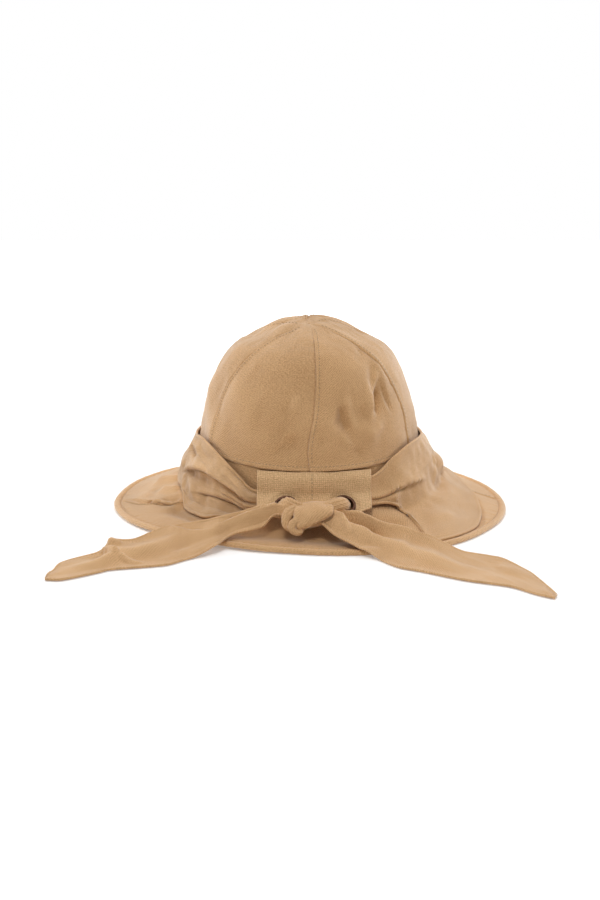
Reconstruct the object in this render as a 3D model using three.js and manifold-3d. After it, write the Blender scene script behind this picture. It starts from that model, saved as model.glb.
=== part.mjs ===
// A soft sun hat with a six-panel crown, a sloping brim and a scarf that is knotted behind it.
// Millimetres, +Z up. The back of the hat, with the knot, faces -Y and the wearer looks along +Y.
// The hat stands on the hem of its brim at z = 0, and the tie ends lie over the brim and beside it.

import * as THREE from "three";
import { mergeVertices } from "three/addons/utils/BufferGeometryUtils.js";
import Module from "manifold-3d";

const wasm = await Module();
wasm.setup();

const { PI, abs, asin, atan2, ceil, cos, exp, hypot, max, min, sin, sqrt } = Math;
const DEGREE = PI / 180;

// ---- driving dimensions -------------------------------------------------------------------

const GAP = 0.3; // clearance between neighbouring pieces
const STEP = 7.5; // degrees between sections taken round the hat
const LEFT_SEAM = -90; // bearings are degrees from the centre back, positive toward +X
const RIGHT_SEAM = 90;

const CROWN = {
  halfWidth: 90.7,
  lengthRatio: 1.06, // front-to-back size over side-to-side size
  apexHeight: 159,
  seamHeight: 60, // lower edge at the sides
  seamTilt: 10.5, // how much lower it is at the back, and higher at the front
  wall: 1.6,
  panels: 6,
  puff: 1.3, // how far the panels stand out between their seams
  openTip: 3, // how far from the place where their seams meet the panels end
  tipBehind: 21, // how far behind the apex that place is, along the cloth
  leanFrom: 0.2, // shares of a seam's length between which it leans back to it
  leanTo: 0.7,
  columns: 7, // steps across a panel
  rows: 10, // steps up a panel
};

const BAND = {
  rootHalfWidth: 96, // lower edge, where the brim is sewn on
  rootHalfLength: 99.5,
  rootHeight: 33,
  rootTilt: 10,
  wall: 1.6,
  tuck: 0.7, // how far it lies inside the crown's lower edge
  below: 0.8, // how far its upper edge is under the crown's lower edge
  rows: 3,
};

const BRIM = {
  wall: 1.8,
  wallAtHem: 3.5, // height of the wall's upper face where the hem begins
  hemWidth: 6,
  steps: 6,
  perDegree: 2.2, // millimetres in a degree, halfway across it
};

const SCARF = {
  cloth: 2,
  clear: 0.5, // gap to what it lies on
  overEdge: 0.4, // how far it stands out more where it passes over the crown's edge
  cornerRoom: 1, // extra room in the corner between band and brim
  corner: 13, // width of that corner along the brim
  bendSteps: 4,
  acrossSteps: 8,
  perDegree: 1.8, // millimetres in a degree
  tightFrom: 30, // bearings between which its sections lie closer, where it spreads
  tightTo: 50,
};

const TAB = {
  leftEdge: -40.5, // x of its two side edges
  rightEdge: 47.2,
  wall: 1.8,
  tunnel: 11, // depth of the room behind it, where the scarf runs
  acrossSteps: 10,
  downSteps: 6,
};

const EYELET = {
  leftX: -18.3,
  rightX: 25.8,
  radius: 112.6, // distance of its centre from the crown's axis
  height: 26.4,
  tilt: 52, // degrees that its face looks up
  flangeRadius: 9.7,
  flange: 1.2,
  backRadius: 9,
  back: 0.7,
  boreRadius: 6.7,
  barrelRadius: 7.5,
  stand: 0.9, // its flanges' distance from the middle of the tab's curved cloth
  bevel: 0.9, // width of the slope round its front flange
  roll: 0.6, // rounding at the mouth of its bore
  segments: 16,
};

const TAIL = {
  cloth: 1.8,
  clear: 0.6, // gap to the brim or the scarf under it
  sag: 1.2, // above 1, a section hangs lower than a straight line between its edges
  pastRim: 1.5, // how far outside the rim it reaches the surface that the hat stands on
  pastScarf: 3, // how far outside the scarf's lower edge it reaches the brim
  acrossSteps: 5,
  stepsPerRow: 1.5,
};

// Side outline of the crown, from its lower edge to its apex.
const CROWN_OUTLINE = [
  { halfWidth: 90.7, height: 60 },
  { halfWidth: 87.7, height: 76 },
  { halfWidth: 84.3, height: 90 },
  { halfWidth: 79, height: 106 },
  { halfWidth: 71.8, height: 122 },
  { halfWidth: 65, height: 132 },
  { halfWidth: 56, height: 139.5 },
  { halfWidth: 39, height: 148 },
  { halfWidth: 22, height: 154.8 },
  { halfWidth: 0, height: 159 },
];

// Soft dents in the crown: up is the fraction of the outline from the lower edge to the apex.
const CROWN_DENTS = [
  { bearing: 21, up: 0.25, depth: 2.4, halfAngle: 6, halfUp: 0.09 },
  { bearing: 30, up: 0.17, depth: -1.2, halfAngle: 4, halfUp: 0.1 },
  { bearing: 41, up: 0.36, depth: 2.6, halfAngle: 5, halfUp: 0.12 },
  { bearing: 49, up: 0.44, depth: -1.4, halfAngle: 4, halfUp: 0.08 },
  { bearing: -12, up: 0.27, depth: -1, halfAngle: 4, halfUp: 0.1 },
  { bearing: -10, up: 0.12, depth: 1.6, halfAngle: 4, halfUp: 0.06 },
  { bearing: -70, up: 0.55, depth: 1.5, halfAngle: 12, halfUp: 0.12 },
  { bearing: 150, up: 0.4, depth: 1.8, halfAngle: 12, halfUp: 0.16 },
  { bearing: -152, up: 0.3, depth: 1.6, halfAngle: 10, halfUp: 0.14 },
];

// Outer edge of the brim, and how far its hem is off the surface that it stands on.
const RIM = [
  { bearing: -180, radius: 165, lift: 0 },
  { bearing: -135, radius: 167, lift: 0 },
  { bearing: -115, radius: 163, lift: 0 },
  { bearing: -90, radius: 163.5, lift: 0 },
  { bearing: -70, radius: 158.5, lift: 0 },
  { bearing: -50, radius: 153.5, lift: 1.5 },
  { bearing: -28, radius: 151, lift: 1.8 },
  { bearing: -10, radius: 151.5, lift: 0.6 },
  { bearing: 5, radius: 156, lift: 0 },
  { bearing: 20, radius: 161.5, lift: 0 },
  { bearing: 40, radius: 166.5, lift: 0 },
  { bearing: 60, radius: 164, lift: 0 },
  { bearing: 90, radius: 164, lift: 0 },
  { bearing: 112, radius: 163, lift: 0 },
  { bearing: 135, radius: 167, lift: 0 },
  { bearing: 180, radius: 165, lift: 0 },
];

// Slope of the brim: the share of its height that is lost along its width.
const BRIM_FALL = [
  { along: 0, fall: 0 },
  { along: 0.2, fall: 0.28 },
  { along: 0.45, fall: 0.56 },
  { along: 0.7, fall: 0.79 },
  { along: 1, fall: 1 },
];

// Turned hem at the rim: inset is measured in from the outer edge.
const HEM = [
  { inset: 5, top: 4.1, under: 0.5 },
  { inset: 3.8, top: 4.6, under: 0 },
  { inset: 1.4, top: 4.3, under: 0 },
  { inset: 0, top: 2.9, under: 1.3 },
];

// Wrinkles in the brim. Each is a ridge (or, if negative, a dip) from one point to another.
const BRIM_FOLDS = [
  { fromBearing: -97, fromAlong: 0.25, toBearing: -86, toAlong: 0.6, height: 3, halfWidth: 7 },
  { fromBearing: -80, fromAlong: 0.15, toBearing: -66, toAlong: 0.55, height: -2.5, halfWidth: 10 },
  { fromBearing: -118, fromAlong: 0.2, toBearing: -108, toAlong: 0.75, height: 2, halfWidth: 9 },
  { fromBearing: 150, fromAlong: 0.1, toBearing: 158, toAlong: 0.8, height: 2, halfWidth: 12 },
];

// Scarf round the band: top is the height of its upper edge, lower the radius at which its
// lower edge lies, belly how far it stands off the corner between the two, and lift its height
// over the brim. On the right it spreads nearly to the hem.
const SCARF_WRAP = [
  { bearing: 7, top: 40, belly: 0, lower: 110, lift: 0.4 },
  { bearing: 28, top: 43.5, belly: 0, lower: 110, lift: 0.8 },
  { bearing: 33, top: 46.5, belly: 0, lower: 113, lift: 1.6 },
  { bearing: 38, top: 51, belly: 1, lower: 143, lift: 2.6 },
  { bearing: 43, top: 55.5, belly: 2, lower: 151, lift: 1.8 },
  { bearing: 55, top: 62, belly: 3, lower: 152, lift: 0.8 },
  { bearing: 66, top: 64, belly: 5, lower: 148, lift: 0.4 },
  { bearing: 78, top: 64, belly: 8, lower: 141, lift: 0.4 },
  { bearing: 90, top: 63, belly: 11, lower: 134, lift: 0.4 },
  { bearing: 105, top: 63, belly: 13, lower: 131, lift: 0.4 },
  { bearing: 125, top: 64, belly: 9, lower: 126, lift: 0.4 },
  { bearing: 150, top: 66, belly: 4, lower: 118, lift: 0.4 },
  { bearing: 180, top: 68, belly: 2, lower: 116, lift: 0.4 },
  { bearing: 220, top: 66, belly: 3, lower: 114, lift: 0.4 },
  { bearing: 255, top: 64, belly: 6, lower: 111, lift: 0.4 },
  { bearing: 278, top: 63.5, belly: 7, lower: 109, lift: 0.4 },
  { bearing: 292, top: 65, belly: 4, lower: 109, lift: 0.4 },
  { bearing: 307, top: 61, belly: 2, lower: 112, lift: 0.4 },
  { bearing: 316, top: 54, belly: 1, lower: 112, lift: 0.4 },
  { bearing: 326, top: 45, belly: 0, lower: 111, lift: 0.4 },
  { bearing: 335, top: 35, belly: 0, lower: 111, lift: 0.4 },
  { bearing: 357, top: 34, belly: 0, lower: 112, lift: 0.4 },
];

// Pleats that run along the scarf; across is 0 at its upper edge and 1 at its lower edge.
const SCARF_FOLDS = [
  { fromBearing: 284, fromAcross: 0.5, toBearing: 337, toAcross: 0.45, height: -2, halfWidth: 3.5 },
  { fromBearing: 288, fromAcross: 0.72, toBearing: 334, toAcross: 0.8, height: -1.8, halfWidth: 3 },
  { fromBearing: 286, fromAcross: 0.62, toBearing: 300, toAcross: 0.85, height: 2.6, halfWidth: 4 },
  { fromBearing: 262, fromAcross: 0.2, toBearing: 282, toAcross: 0.4, height: -2.4, halfWidth: 4.5 },
  { fromBearing: 27, fromAcross: 0.5, toBearing: 58, toAcross: 0.42, height: -1.8, halfWidth: 3.5 },
  { fromBearing: 27, fromAcross: 0.72, toBearing: 38, toAcross: 0.6, height: -1.8, halfWidth: 3.5 },
  { fromBearing: 84, fromAcross: 0.2, toBearing: 88, toAcross: 0.42, height: 2.4, halfWidth: 5 },
  { fromBearing: 110, fromAcross: 0.35, toBearing: 170, toAcross: 0.5, height: 2.2, halfWidth: 5 },
  { fromBearing: 150, fromAcross: 0.65, toBearing: 215, toAcross: 0.6, height: -1.6, halfWidth: 4 },
  { fromBearing: 190, fromAcross: 0.35, toBearing: 250, toAcross: 0.45, height: 2, halfWidth: 5 },
];

// Section of the tab's outer face: it leaves the crown's edge, bulges over the scarf and flares
// out to a straight slope that carries the eyelets.
const TAB_SECTION = [
  { radius: 98.4, height: 48.6 },
  { radius: 101.6, height: 44.5 },
  { radius: 103, height: 39.5 },
  { radius: 104.2, height: 33.8 },
  { radius: 108.4, height: 29.7 },
  { radius: 116.8, height: 23.1 },
  { radius: 120.8, height: 20 },
];

// Body of the knot: sections across it from left to right, each a rounded block that slopes as
// the brim does.
const KNOT = [
  { x: -22.5, y: -127.5, height: 18.6, halfDepth: 3, halfHeight: 2.4 },
  { x: -19, y: -127, height: 20, halfDepth: 8.5, halfHeight: 5.2 },
  { x: -11, y: -125, height: 22, halfDepth: 13, halfHeight: 7.4 },
  { x: -1, y: -123, height: 23.2, halfDepth: 14, halfHeight: 8.3 },
  { x: 9, y: -122, height: 23.8, halfDepth: 12.5, halfHeight: 8.2 },
  { x: 16, y: -120, height: 24.4, halfDepth: 9, halfHeight: 6.6 },
  { x: 18.5, y: -119, height: 24.4, halfDepth: 4, halfHeight: 3.6 },
];
const KNOT_SECTION = { slope: -24 * DEGREE, squareness: 2.6, sides: 12 };

// Strands of the scarf through the eyelets: inside and outside are distances along an eyelet's
// axis, and the route gives the share of the way to the middle of the knot.
const STRAND = { radius: 5.6, inside: 4, outside: 3.5, sides: 8, steps: 5 };
const STRAND_ROUTE = [
  { inward: 0.3, y: -120, height: 28 },
  { inward: 0.7, y: -123, height: 24.5 },
];

// Tie ends: each row is one section, from the edge nearer the back to the edge nearer the hat.
const LEFT_TAIL = [
  { nearX: -14, nearY: -131, nearZ: 19, farX: -14, farY: -122, farZ: 29 },
  { nearX: -26, nearY: -124, nearZ: 22, farX: -25, farY: -118, farZ: 29 },
  { nearX: -35, nearY: -125, nearZ: 15.5, farX: -35, farY: -120, farZ: 27.5 },
  { nearX: -56, nearY: -131, nearZ: 9.4, farX: -57, farY: -116, farZ: 22 },
  { nearX: -69, nearY: -150, nearZ: 6, farX: -73, farY: -118, farZ: 18.5 },
  { nearX: -88, nearY: -167, nearZ: 0, farX: -94, farY: -120, farZ: 15 },
  { nearX: -102, nearY: -181, nearZ: 0, farX: -107, farY: -126, farZ: 14 },
  { nearX: -125, nearY: -188, nearZ: 0, farX: -131, farY: -146, farZ: 10 },
  { nearX: -139, nearY: -192, nearZ: 0, farX: -143, farY: -151, farZ: 11 },
  { nearX: -147, nearY: -199, nearZ: 0, farX: -151, farY: -161, farZ: 5 },
  { nearX: -171, nearY: -216, nearZ: 0, farX: -176, farY: -186, farZ: 2.5 },
  { nearX: -180, nearY: -215, nearZ: 0, farX: -181, farY: -211, farZ: 1 },
];
const RIGHT_TAIL = [
  { nearX: 8, nearY: -132, nearZ: 18, farX: 14, farY: -119, farZ: 27 },
  { nearX: 19, nearY: -141, nearZ: 10.5, farX: 30, farY: -120, farZ: 25 },
  { nearX: 32, nearY: -153, nearZ: 7, farX: 41, farY: -123, farZ: 22.5 },
  { nearX: 47, nearY: -166, nearZ: 0.5, farX: 53, farY: -126, farZ: 17.5 },
  { nearX: 61, nearY: -186, nearZ: 0, farX: 72, farY: -136, farZ: 15 },
  { nearX: 76, nearY: -196, nearZ: 0, farX: 85, farY: -143, farZ: 13 },
  { nearX: 105, nearY: -217, nearZ: 0, farX: 111, farY: -161, farZ: 5 },
  { nearX: 120, nearY: -224, nearZ: 0, farX: 128, farY: -167, farZ: 3.5 },
  { nearX: 132, nearY: -230, nearZ: 0, farX: 140, farY: -181, farZ: 3.5 },
  { nearX: 147, nearY: -247, nearZ: 0, farX: 154, farY: -214, farZ: 1.5 },
  { nearX: 157, nearY: -255, nearZ: 0, farX: 160, farY: -248, farZ: 1 },
];

const COLOURS = { linen: 0xc9a377, canvas: 0xc6a27a, darkMetal: 0x4a2f22 };

// ---- small helpers ------------------------------------------------------------------------

const mix = (from, to, share) => from + (to - from) * share;
const clamp = (value, low, high) => min(max(value, low), high);
const wrapped = (bearing) => ((((bearing + 180) % 360) + 360) % 360) - 180;

// A point at a bearing and distance from the crown's axis.
function polar(bearing, radius, height) {
  return new THREE.Vector3(radius * sin(bearing * DEGREE), -radius * cos(bearing * DEGREE), height);
}

// Radius of an ellipse at a bearing.
function ellipse(bearing, halfWidth, halfLength) {
  return 1 / hypot(sin(bearing * DEGREE) / halfWidth, cos(bearing * DEGREE) / halfLength);
}

// A smooth function through one column of a table, which never overshoots its rows.
function smooth(rows, key, column) {
  const slopes = rows.slice(1).map((row, i) => (row[column] - rows[i][column]) / (row[key] - rows[i][key]));
  const tangents = rows.map((row, i) => {
    const before = slopes[max(i - 1, 0)];
    const after = slopes[min(i, slopes.length - 1)];
    return before * after <= 0 ? 0 : (2 * before * after) / (before + after);
  });
  return (at) => {
    const last = rows.length - 2;
    let i = 0;
    while (i < last && at > rows[i + 1][key]) i += 1;
    const span = rows[i + 1][key] - rows[i][key];
    const t = clamp((at - rows[i][key]) / span, 0, 1);
    const bend = (t * (1 - t)) * span;
    const straight = mix(rows[i][column], rows[i + 1][column], t * t * (3 - 2 * t));
    return straight + bend * ((1 - t) * tangents[i] - t * tangents[i + 1]);
  };
}

// Height of the folds in a table at a point, with both directions measured in millimetres.
function foldHeight(folds, lengthwise, crosswise, scale) {
  let height = 0;
  for (const fold of folds) {
    const spanX = (fold.to[0] - fold.from[0]) * scale[0];
    const spanY = (fold.to[1] - fold.from[1]) * scale[1];
    const x = (lengthwise - fold.from[0]) * scale[0];
    const y = (crosswise - fold.from[1]) * scale[1];
    const along = clamp((x * spanX + y * spanY) / (spanX * spanX + spanY * spanY), 0, 1);
    const away = hypot(x - along * spanX, y - along * spanY) / fold.halfWidth;
    height += fold.height * exp(-away * away);
  }
  return height;
}

// ---- turning sections into closed bodies --------------------------------------------------

// A geometry from points and triangles, turned so that its faces point out.
function closedGeometry(points, triangles) {
  let volume = 0;
  const cross = new THREE.Vector3();
  for (const [a, b, c] of triangles) {
    volume += points[a].dot(cross.crossVectors(points[b], points[c]));
  }
  const index = triangles.flatMap(([a, b, c]) => (volume > 0 ? [a, b, c] : [a, c, b]));
  const geometry = new THREE.BufferGeometry();
  geometry.setAttribute("position", new THREE.Float32BufferAttribute(points.flatMap((p) => p.toArray()), 3));
  geometry.setIndex(index);
  return geometry;
}

// A wall from sections that each hold an outer and an inner row of points.
function wall(sections, ring = false) {
  const count = sections[0].outer.length;
  const points = sections.flatMap((section) => [...section.outer, ...section.inner]);
  const triangles = [];
  const quad = (a, b, c, d) => triangles.push([a, b, c], [a, c, d]);
  const steps = ring ? sections.length : sections.length - 1;
  for (let i = 0; i < steps; i += 1) {
    const here = i * 2 * count;
    const next = ((i + 1) % sections.length) * 2 * count;
    for (let j = 0; j < count - 1; j += 1) {
      quad(here + j, next + j, next + j + 1, here + j + 1);
      quad(here + count + j + 1, next + count + j + 1, next + count + j, here + count + j);
    }
    quad(here + count, next + count, next, here);
    quad(here + count - 1, next + count - 1, next + 2 * count - 1, here + 2 * count - 1);
  }
  if (!ring) {
    const end = (sections.length - 1) * 2 * count;
    for (let j = 0; j < count - 1; j += 1) {
      quad(j, j + 1, count + j + 1, count + j);
      quad(end + j + 1, end + j, end + count + j, end + count + j + 1);
    }
  }
  return closedGeometry(points, triangles);
}

// Gives thickness to a sheet, a grid of points: face is the share of it that lies outside.
function thicken(grid, thickness, face = 0.5) {
  const at = (i, j) => grid[clamp(i, 0, grid.length - 1)][clamp(j, 0, grid[0].length - 1)];
  return grid.map((row, i) => {
    const normals = row.map((point, j) => {
      const lengthwise = at(i + 1, j).clone().sub(at(i - 1, j));
      const crosswise = at(i, j + 1).clone().sub(at(i, j - 1));
      return crosswise.cross(lengthwise).normalize();
    });
    return {
      outer: row.map((point, j) => point.clone().addScaledVector(normals[j], thickness * face)),
      inner: row.map((point, j) => point.clone().addScaledVector(normals[j], thickness * (face - 1))),
    };
  });
}

// A solid through rings of points, closed at both ends.
function loft(rings) {
  const count = rings[0].length;
  const points = rings.flat();
  const triangles = [];
  for (let i = 0; i < rings.length - 1; i += 1) {
    for (let j = 0; j < count; j += 1) {
      const a = i * count + j;
      const b = i * count + ((j + 1) % count);
      triangles.push([a, b, b + count], [a, b + count, a + count]);
    }
  }
  for (const [ring, flip] of [[0, true], [rings.length - 1, false]]) {
    const middle = rings[ring].reduce((sum, p) => sum.add(p), new THREE.Vector3()).divideScalar(count);
    points.push(middle);
    for (let j = 0; j < count; j += 1) {
      const a = ring * count + j;
      const b = ring * count + ((j + 1) % count);
      triangles.push(flip ? [b, a, points.length - 1] : [a, b, points.length - 1]);
    }
  }
  return closedGeometry(points, triangles);
}

function toManifold(geometry) {
  const bare = geometry.clone();
  bare.deleteAttribute("normal");
  bare.deleteAttribute("uv");
  const merged = mergeVertices(bare, 1e-4);
  return new wasm.Manifold(new wasm.Mesh({
    numProp: 3,
    vertProperties: merged.attributes.position.array,
    triVerts: new Uint32Array(merged.index.array),
  }));
}

// The largest piece of a cut solid, without the slivers that a cut can leave.
function largest(solid) {
  return solid.decompose().reduce((best, piece) => (piece.volume() > best.volume() ? piece : best));
}

function fromManifold(solid) {
  const mesh = solid.getMesh();
  const geometry = new THREE.BufferGeometry();
  geometry.setAttribute("position", new THREE.BufferAttribute(mesh.vertProperties, 3));
  geometry.setIndex(new THREE.BufferAttribute(mesh.triVerts, 1));
  return geometry;
}

// ---- crown --------------------------------------------------------------------------------

const outlinePoints = CROWN_OUTLINE.map((row) => new THREE.Vector2(row.halfWidth, row.height));
const outline = new THREE.SplineCurve(outlinePoints);
const seamHeight = (bearing) => CROWN.seamHeight - CROWN.seamTilt * cos(bearing * DEGREE);

function crownDent(bearing, up) {
  let depth = 0;
  for (const dent of CROWN_DENTS) {
    const turn = wrapped(bearing - dent.bearing) / dent.halfAngle;
    const climb = (up - dent.up) / dent.halfUp;
    depth += dent.depth * exp(-turn * turn - climb * climb);
  }
  return depth;
}

// Bearing on the dome, and share of its outline, of a place on a panel: the cloth is laid flat
// round the apex, and the seams lean back in it to the place where they meet.
function panelPlace(bearing, share) {
  const length = outline.getLength();
  const turn = clamp((share - CROWN.leanFrom) / (CROWN.leanTo - CROWN.leanFrom), 0, 1);
  const lean = CROWN.tipBehind * turn * turn * (3 - 2 * turn);
  const x = (1 - share) * length * sin(bearing * DEGREE);
  const y = (1 - share) * length * cos(bearing * DEGREE) + lean;
  return { bearing: atan2(x, y) / DEGREE, up: clamp(1 - hypot(x, y) / length, 0, 1) };
}

// A point of a panel's face. The panels stand out between their seams; inset moves it inward.
function panelPoint(nominal, share, inset) {
  const { bearing, up } = panelPlace(nominal, share);
  const place = outline.getPointAt(up);
  const lean = outline.getTangentAt(up);
  const tilt = ((seamHeight(bearing) - CROWN.seamHeight) * (CROWN.apexHeight - place.y))
    / (CROWN.apexHeight - CROWN.seamHeight);
  const puff = CROWN.puff * abs(sin((nominal * CROWN.panels * DEGREE) / 2)) * sin(share * PI);
  const out = puff - crownDent(bearing, up) - inset;
  const radius = place.x * ellipse(bearing, 1, CROWN.lengthRatio) + out * lean.y;
  return polar(bearing, radius, place.y + tilt - out * lean.x);
}

function crownPanel(fromBearing) {
  const { columns, rows, panels } = CROWN;
  const length = outline.getLength();
  const sections = [];
  for (let i = 0; i <= columns; i += 1) {
    const section = { outer: [], inner: [] };
    for (let j = 0; j <= rows; j += 1) {
      const share = (j / rows) * (1 - CROWN.openTip / length);
      const { up } = panelPlace(fromBearing, share);
      const narrow = (1 - up) * length / outline.getPointAt(up).x;
      const edge = asin((GAP / 2) * narrow / ((1 - share) * length)) / DEGREE;
      const bearing = mix(fromBearing + edge, fromBearing + 360 / panels - edge, i / columns);
      section.outer.push(panelPoint(bearing, share, 0));
      section.inner.push(panelPoint(bearing, share, CROWN.wall));
    }
    sections.push(section);
  }
  return wall(sections);
}

// ---- band ---------------------------------------------------------------------------------

const rootRadius = (bearing) => ellipse(bearing, BAND.rootHalfWidth, BAND.rootHalfLength);
const rootHeight = (bearing) => BAND.rootHeight - BAND.rootTilt * cos(bearing * DEGREE);
const edgeRadius = (bearing) => CROWN.halfWidth * ellipse(bearing, 1, CROWN.lengthRatio);

// Outer face of the band, and of the crown above it, at a height.
function bodyRadius(bearing, height) {
  const share = (height - rootHeight(bearing)) / (seamHeight(bearing) - rootHeight(bearing));
  const over = clamp(2 * (share - 1), 0, SCARF.overEdge);
  return mix(rootRadius(bearing), edgeRadius(bearing), min(share, 1)) + over;
}

function band() {
  const sections = [];
  for (let bearing = 0; bearing < 360; bearing += STEP) {
    const section = { outer: [], inner: [] };
    for (let j = 0; j <= BAND.rows; j += 1) {
      const height = mix(rootHeight(bearing) + 2 * GAP, seamHeight(bearing) - BAND.below, j / BAND.rows);
      const radius = bodyRadius(bearing, height) - BAND.tuck;
      section.outer.push(polar(bearing, radius, height));
      section.inner.push(polar(bearing, radius - BAND.wall, height));
    }
    sections.push(section);
  }
  return wall(sections, true);
}

// ---- brim ---------------------------------------------------------------------------------

const rimRadius = smooth(RIM, "bearing", "radius");
const rimLift = smooth(RIM, "bearing", "lift");
const brimFall = smooth(BRIM_FALL, "along", "fall");
const brimFolds = BRIM_FOLDS.map((fold) => ({
  from: [fold.fromBearing, fold.fromAlong],
  to: [fold.toBearing, fold.toAlong],
  height: fold.height,
  halfWidth: fold.halfWidth,
}));

// Upper face of the brim's wall, from its root (along 0) to its hem (along 1).
function brimTop(bearing, along) {
  const turned = wrapped(bearing);
  const root = rootRadius(turned) - BAND.tuck - BAND.wall;
  const hem = rimRadius(turned) - BRIM.hemWidth;
  const radius = mix(root, hem, along);
  const fold = foldHeight(brimFolds, turned, along, [BRIM.perDegree, hem - root]) * sin(along * PI);
  const height = mix(rootHeight(turned), BRIM.wallAtHem + rimLift(turned), brimFall(along)) + fold;
  return { radius, height };
}

// Height of the brim's upper face at a distance from the crown's axis.
function brimHeight(bearing, radius) {
  const turned = wrapped(bearing);
  const root = rootRadius(turned) - BAND.tuck - BAND.wall;
  const hem = rimRadius(turned) - BRIM.hemWidth;
  const along = (radius - root) / (hem - root);
  if (along > 1) return HEM[1].top + rimLift(turned);
  return brimTop(turned, max(along, 0)).height;
}

function brimSection(bearing) {
  const wallPoints = [];
  for (let j = 0; j <= BRIM.steps; j += 1) wallPoints.push(brimTop(bearing, j / BRIM.steps));
  const section = { outer: [], inner: [] };
  wallPoints.forEach((point, j) => {
    const before = wallPoints[max(j - 1, 0)];
    const after = wallPoints[min(j + 1, BRIM.steps)];
    const run = after.radius - before.radius;
    const rise = after.height - before.height;
    const length = hypot(run, rise);
    const inward = (rise / length) * BRIM.wall;
    const down = (run / length) * BRIM.wall;
    section.outer.push([point.radius, point.height]);
    section.inner.push([point.radius + inward, point.height - down]);
  });
  const turned = wrapped(bearing);
  for (const row of HEM) {
    section.outer.push([rimRadius(turned) - row.inset, row.top + rimLift(turned)]);
    section.inner.push([rimRadius(turned) - row.inset, row.under + rimLift(turned)]);
  }
  return section;
}

// Half of the brim, between its two side seams.
function brimHalf(fromBearing, toBearing) {
  const sections = [];
  for (let bearing = fromBearing; bearing <= toBearing; bearing += STEP) {
    const section = brimSection(bearing);
    const side = bearing === fromBearing ? 1 : bearing === toBearing ? -1 : 0;
    const place = ([radius, height]) => {
      const edge = (side * asin(GAP / 2 / radius)) / DEGREE;
      return polar(bearing + edge, radius, height);
    };
    sections.push({ outer: section.outer.map(place), inner: section.inner.map(place) });
  }
  return wall(sections);
}

// ---- scarf --------------------------------------------------------------------------------

const scarfTop = smooth(SCARF_WRAP, "bearing", "top");
const scarfLower = smooth(SCARF_WRAP, "bearing", "lower");
const scarfBelly = smooth(SCARF_WRAP, "bearing", "belly");
const scarfLift = smooth(SCARF_WRAP, "bearing", "lift");
const scarfFolds = SCARF_FOLDS.map((fold) => ({
  from: [fold.fromBearing, fold.fromAcross],
  to: [fold.toBearing, fold.toAcross],
  height: fold.height,
  halfWidth: fold.halfWidth,
}));

// The scarf's section at a bearing: down the band, round the corner and out over the brim.
function scarfSection(bearing) {
  const clear = SCARF.clear + SCARF.cloth / 2;
  const top = scarfTop(bearing);
  const lower = scarfLower(bearing);
  const start = new THREE.Vector2(bodyRadius(bearing, top) + clear, top);
  const belly = scarfBelly(bearing);
  const lift = scarfLift(bearing);
  const corner = new THREE.Vector2(
    rootRadius(bearing) + clear + SCARF.cornerRoom + belly,
    rootHeight(bearing) + clear + belly / 2,
  );
  const landing = min(rootRadius(bearing) + SCARF.corner, lower);
  const land = new THREE.Vector2(landing, brimHeight(bearing, landing) + clear + lift);
  const bend = new THREE.QuadraticBezierCurve(start, corner, land);
  const path = bend.getPoints(SCARF.bendSteps);
  const spread = lower - landing;
  for (let j = 1; j <= SCARF.bendSteps && spread > 1; j += 1) {
    const radius = landing + (spread * j) / SCARF.bendSteps;
    path.push(new THREE.Vector2(radius, brimHeight(bearing, radius) + clear + lift));
  }
  const curve = new THREE.SplineCurve(path);
  const width = curve.getLength();
  const points = [];
  for (let j = 0; j <= SCARF.acrossSteps; j += 1) {
    const across = j / SCARF.acrossSteps;
    const place = curve.getPointAt(across);
    const lean = curve.getTangentAt(across);
    const open = sin(across * PI);
    const fold = foldHeight(scarfFolds, bearing, across, [SCARF.perDegree, width]) * open;
    points.push(polar(bearing, place.x - fold * lean.y, place.y + fold * lean.x));
  }
  return points;
}

function scarfWrap() {
  const grid = [];
  const last = SCARF_WRAP[SCARF_WRAP.length - 1].bearing;
  for (let bearing = STEP; bearing < last; bearing += STEP) {
    grid.push(scarfSection(bearing));
    const tight = bearing >= SCARF.tightFrom && bearing < SCARF.tightTo;
    if (tight) grid.push(scarfSection(bearing + STEP / 2));
  }
  grid.push(scarfSection(last));
  return wall(thicken(grid, SCARF.cloth));
}

// ---- tab and eyelets ----------------------------------------------------------------------

const tabOutline = new THREE.SplineCurve(TAB_SECTION.map((row) => new THREE.Vector2(row.radius, row.height)));

// Puts a solid that stands along +Z at an eyelet's place, looking out and up.
function atEyelet(object, x) {
  const turn = asin(x / EYELET.radius);
  object.rotation.set(0, 0, turn);
  object.rotateX((90 - EYELET.tilt) * DEGREE);
  object.position.copy(polar(turn / DEGREE, EYELET.radius, EYELET.height));
  object.updateMatrix();
  return object;
}

// The tab's cloth without its holes. It is grown on all sides to cut room for it in a neighbour.
function tabCloth(depth, grow) {
  const grid = [];
  const end = tabOutline.getTangentAt(1).multiplyScalar(grow);
  for (let i = 0; i <= TAB.acrossSteps; i += 1) {
    const x = mix(TAB.leftEdge - grow, TAB.rightEdge + grow, i / TAB.acrossSteps);
    const column = [];
    for (let j = 0; j <= TAB.downSteps; j += 1) {
      const place = tabOutline.getPointAt(j / TAB.downSteps);
      if (j === TAB.downSteps) place.add(end);
      column.push(new THREE.Vector3(x, -sqrt(place.x * place.x - x * x), place.y));
    }
    grid.push(column);
  }
  const thickness = depth + grow;
  return toManifold(wall(thicken(grid, thickness, grow / thickness)));
}

// Removes a round hole along each eyelet's axis.
function pierced(solid, radius) {
  let result = solid;
  for (const x of [EYELET.leftX, EYELET.rightX]) {
    const hole = new THREE.CylinderGeometry(radius, radius, 2 * TAB.tunnel, EYELET.segments).rotateX(PI / 2);
    hole.applyMatrix4(atEyelet(new THREE.Object3D(), x).matrix);
    result = result.subtract(toManifold(hole));
  }
  return result;
}

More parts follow.
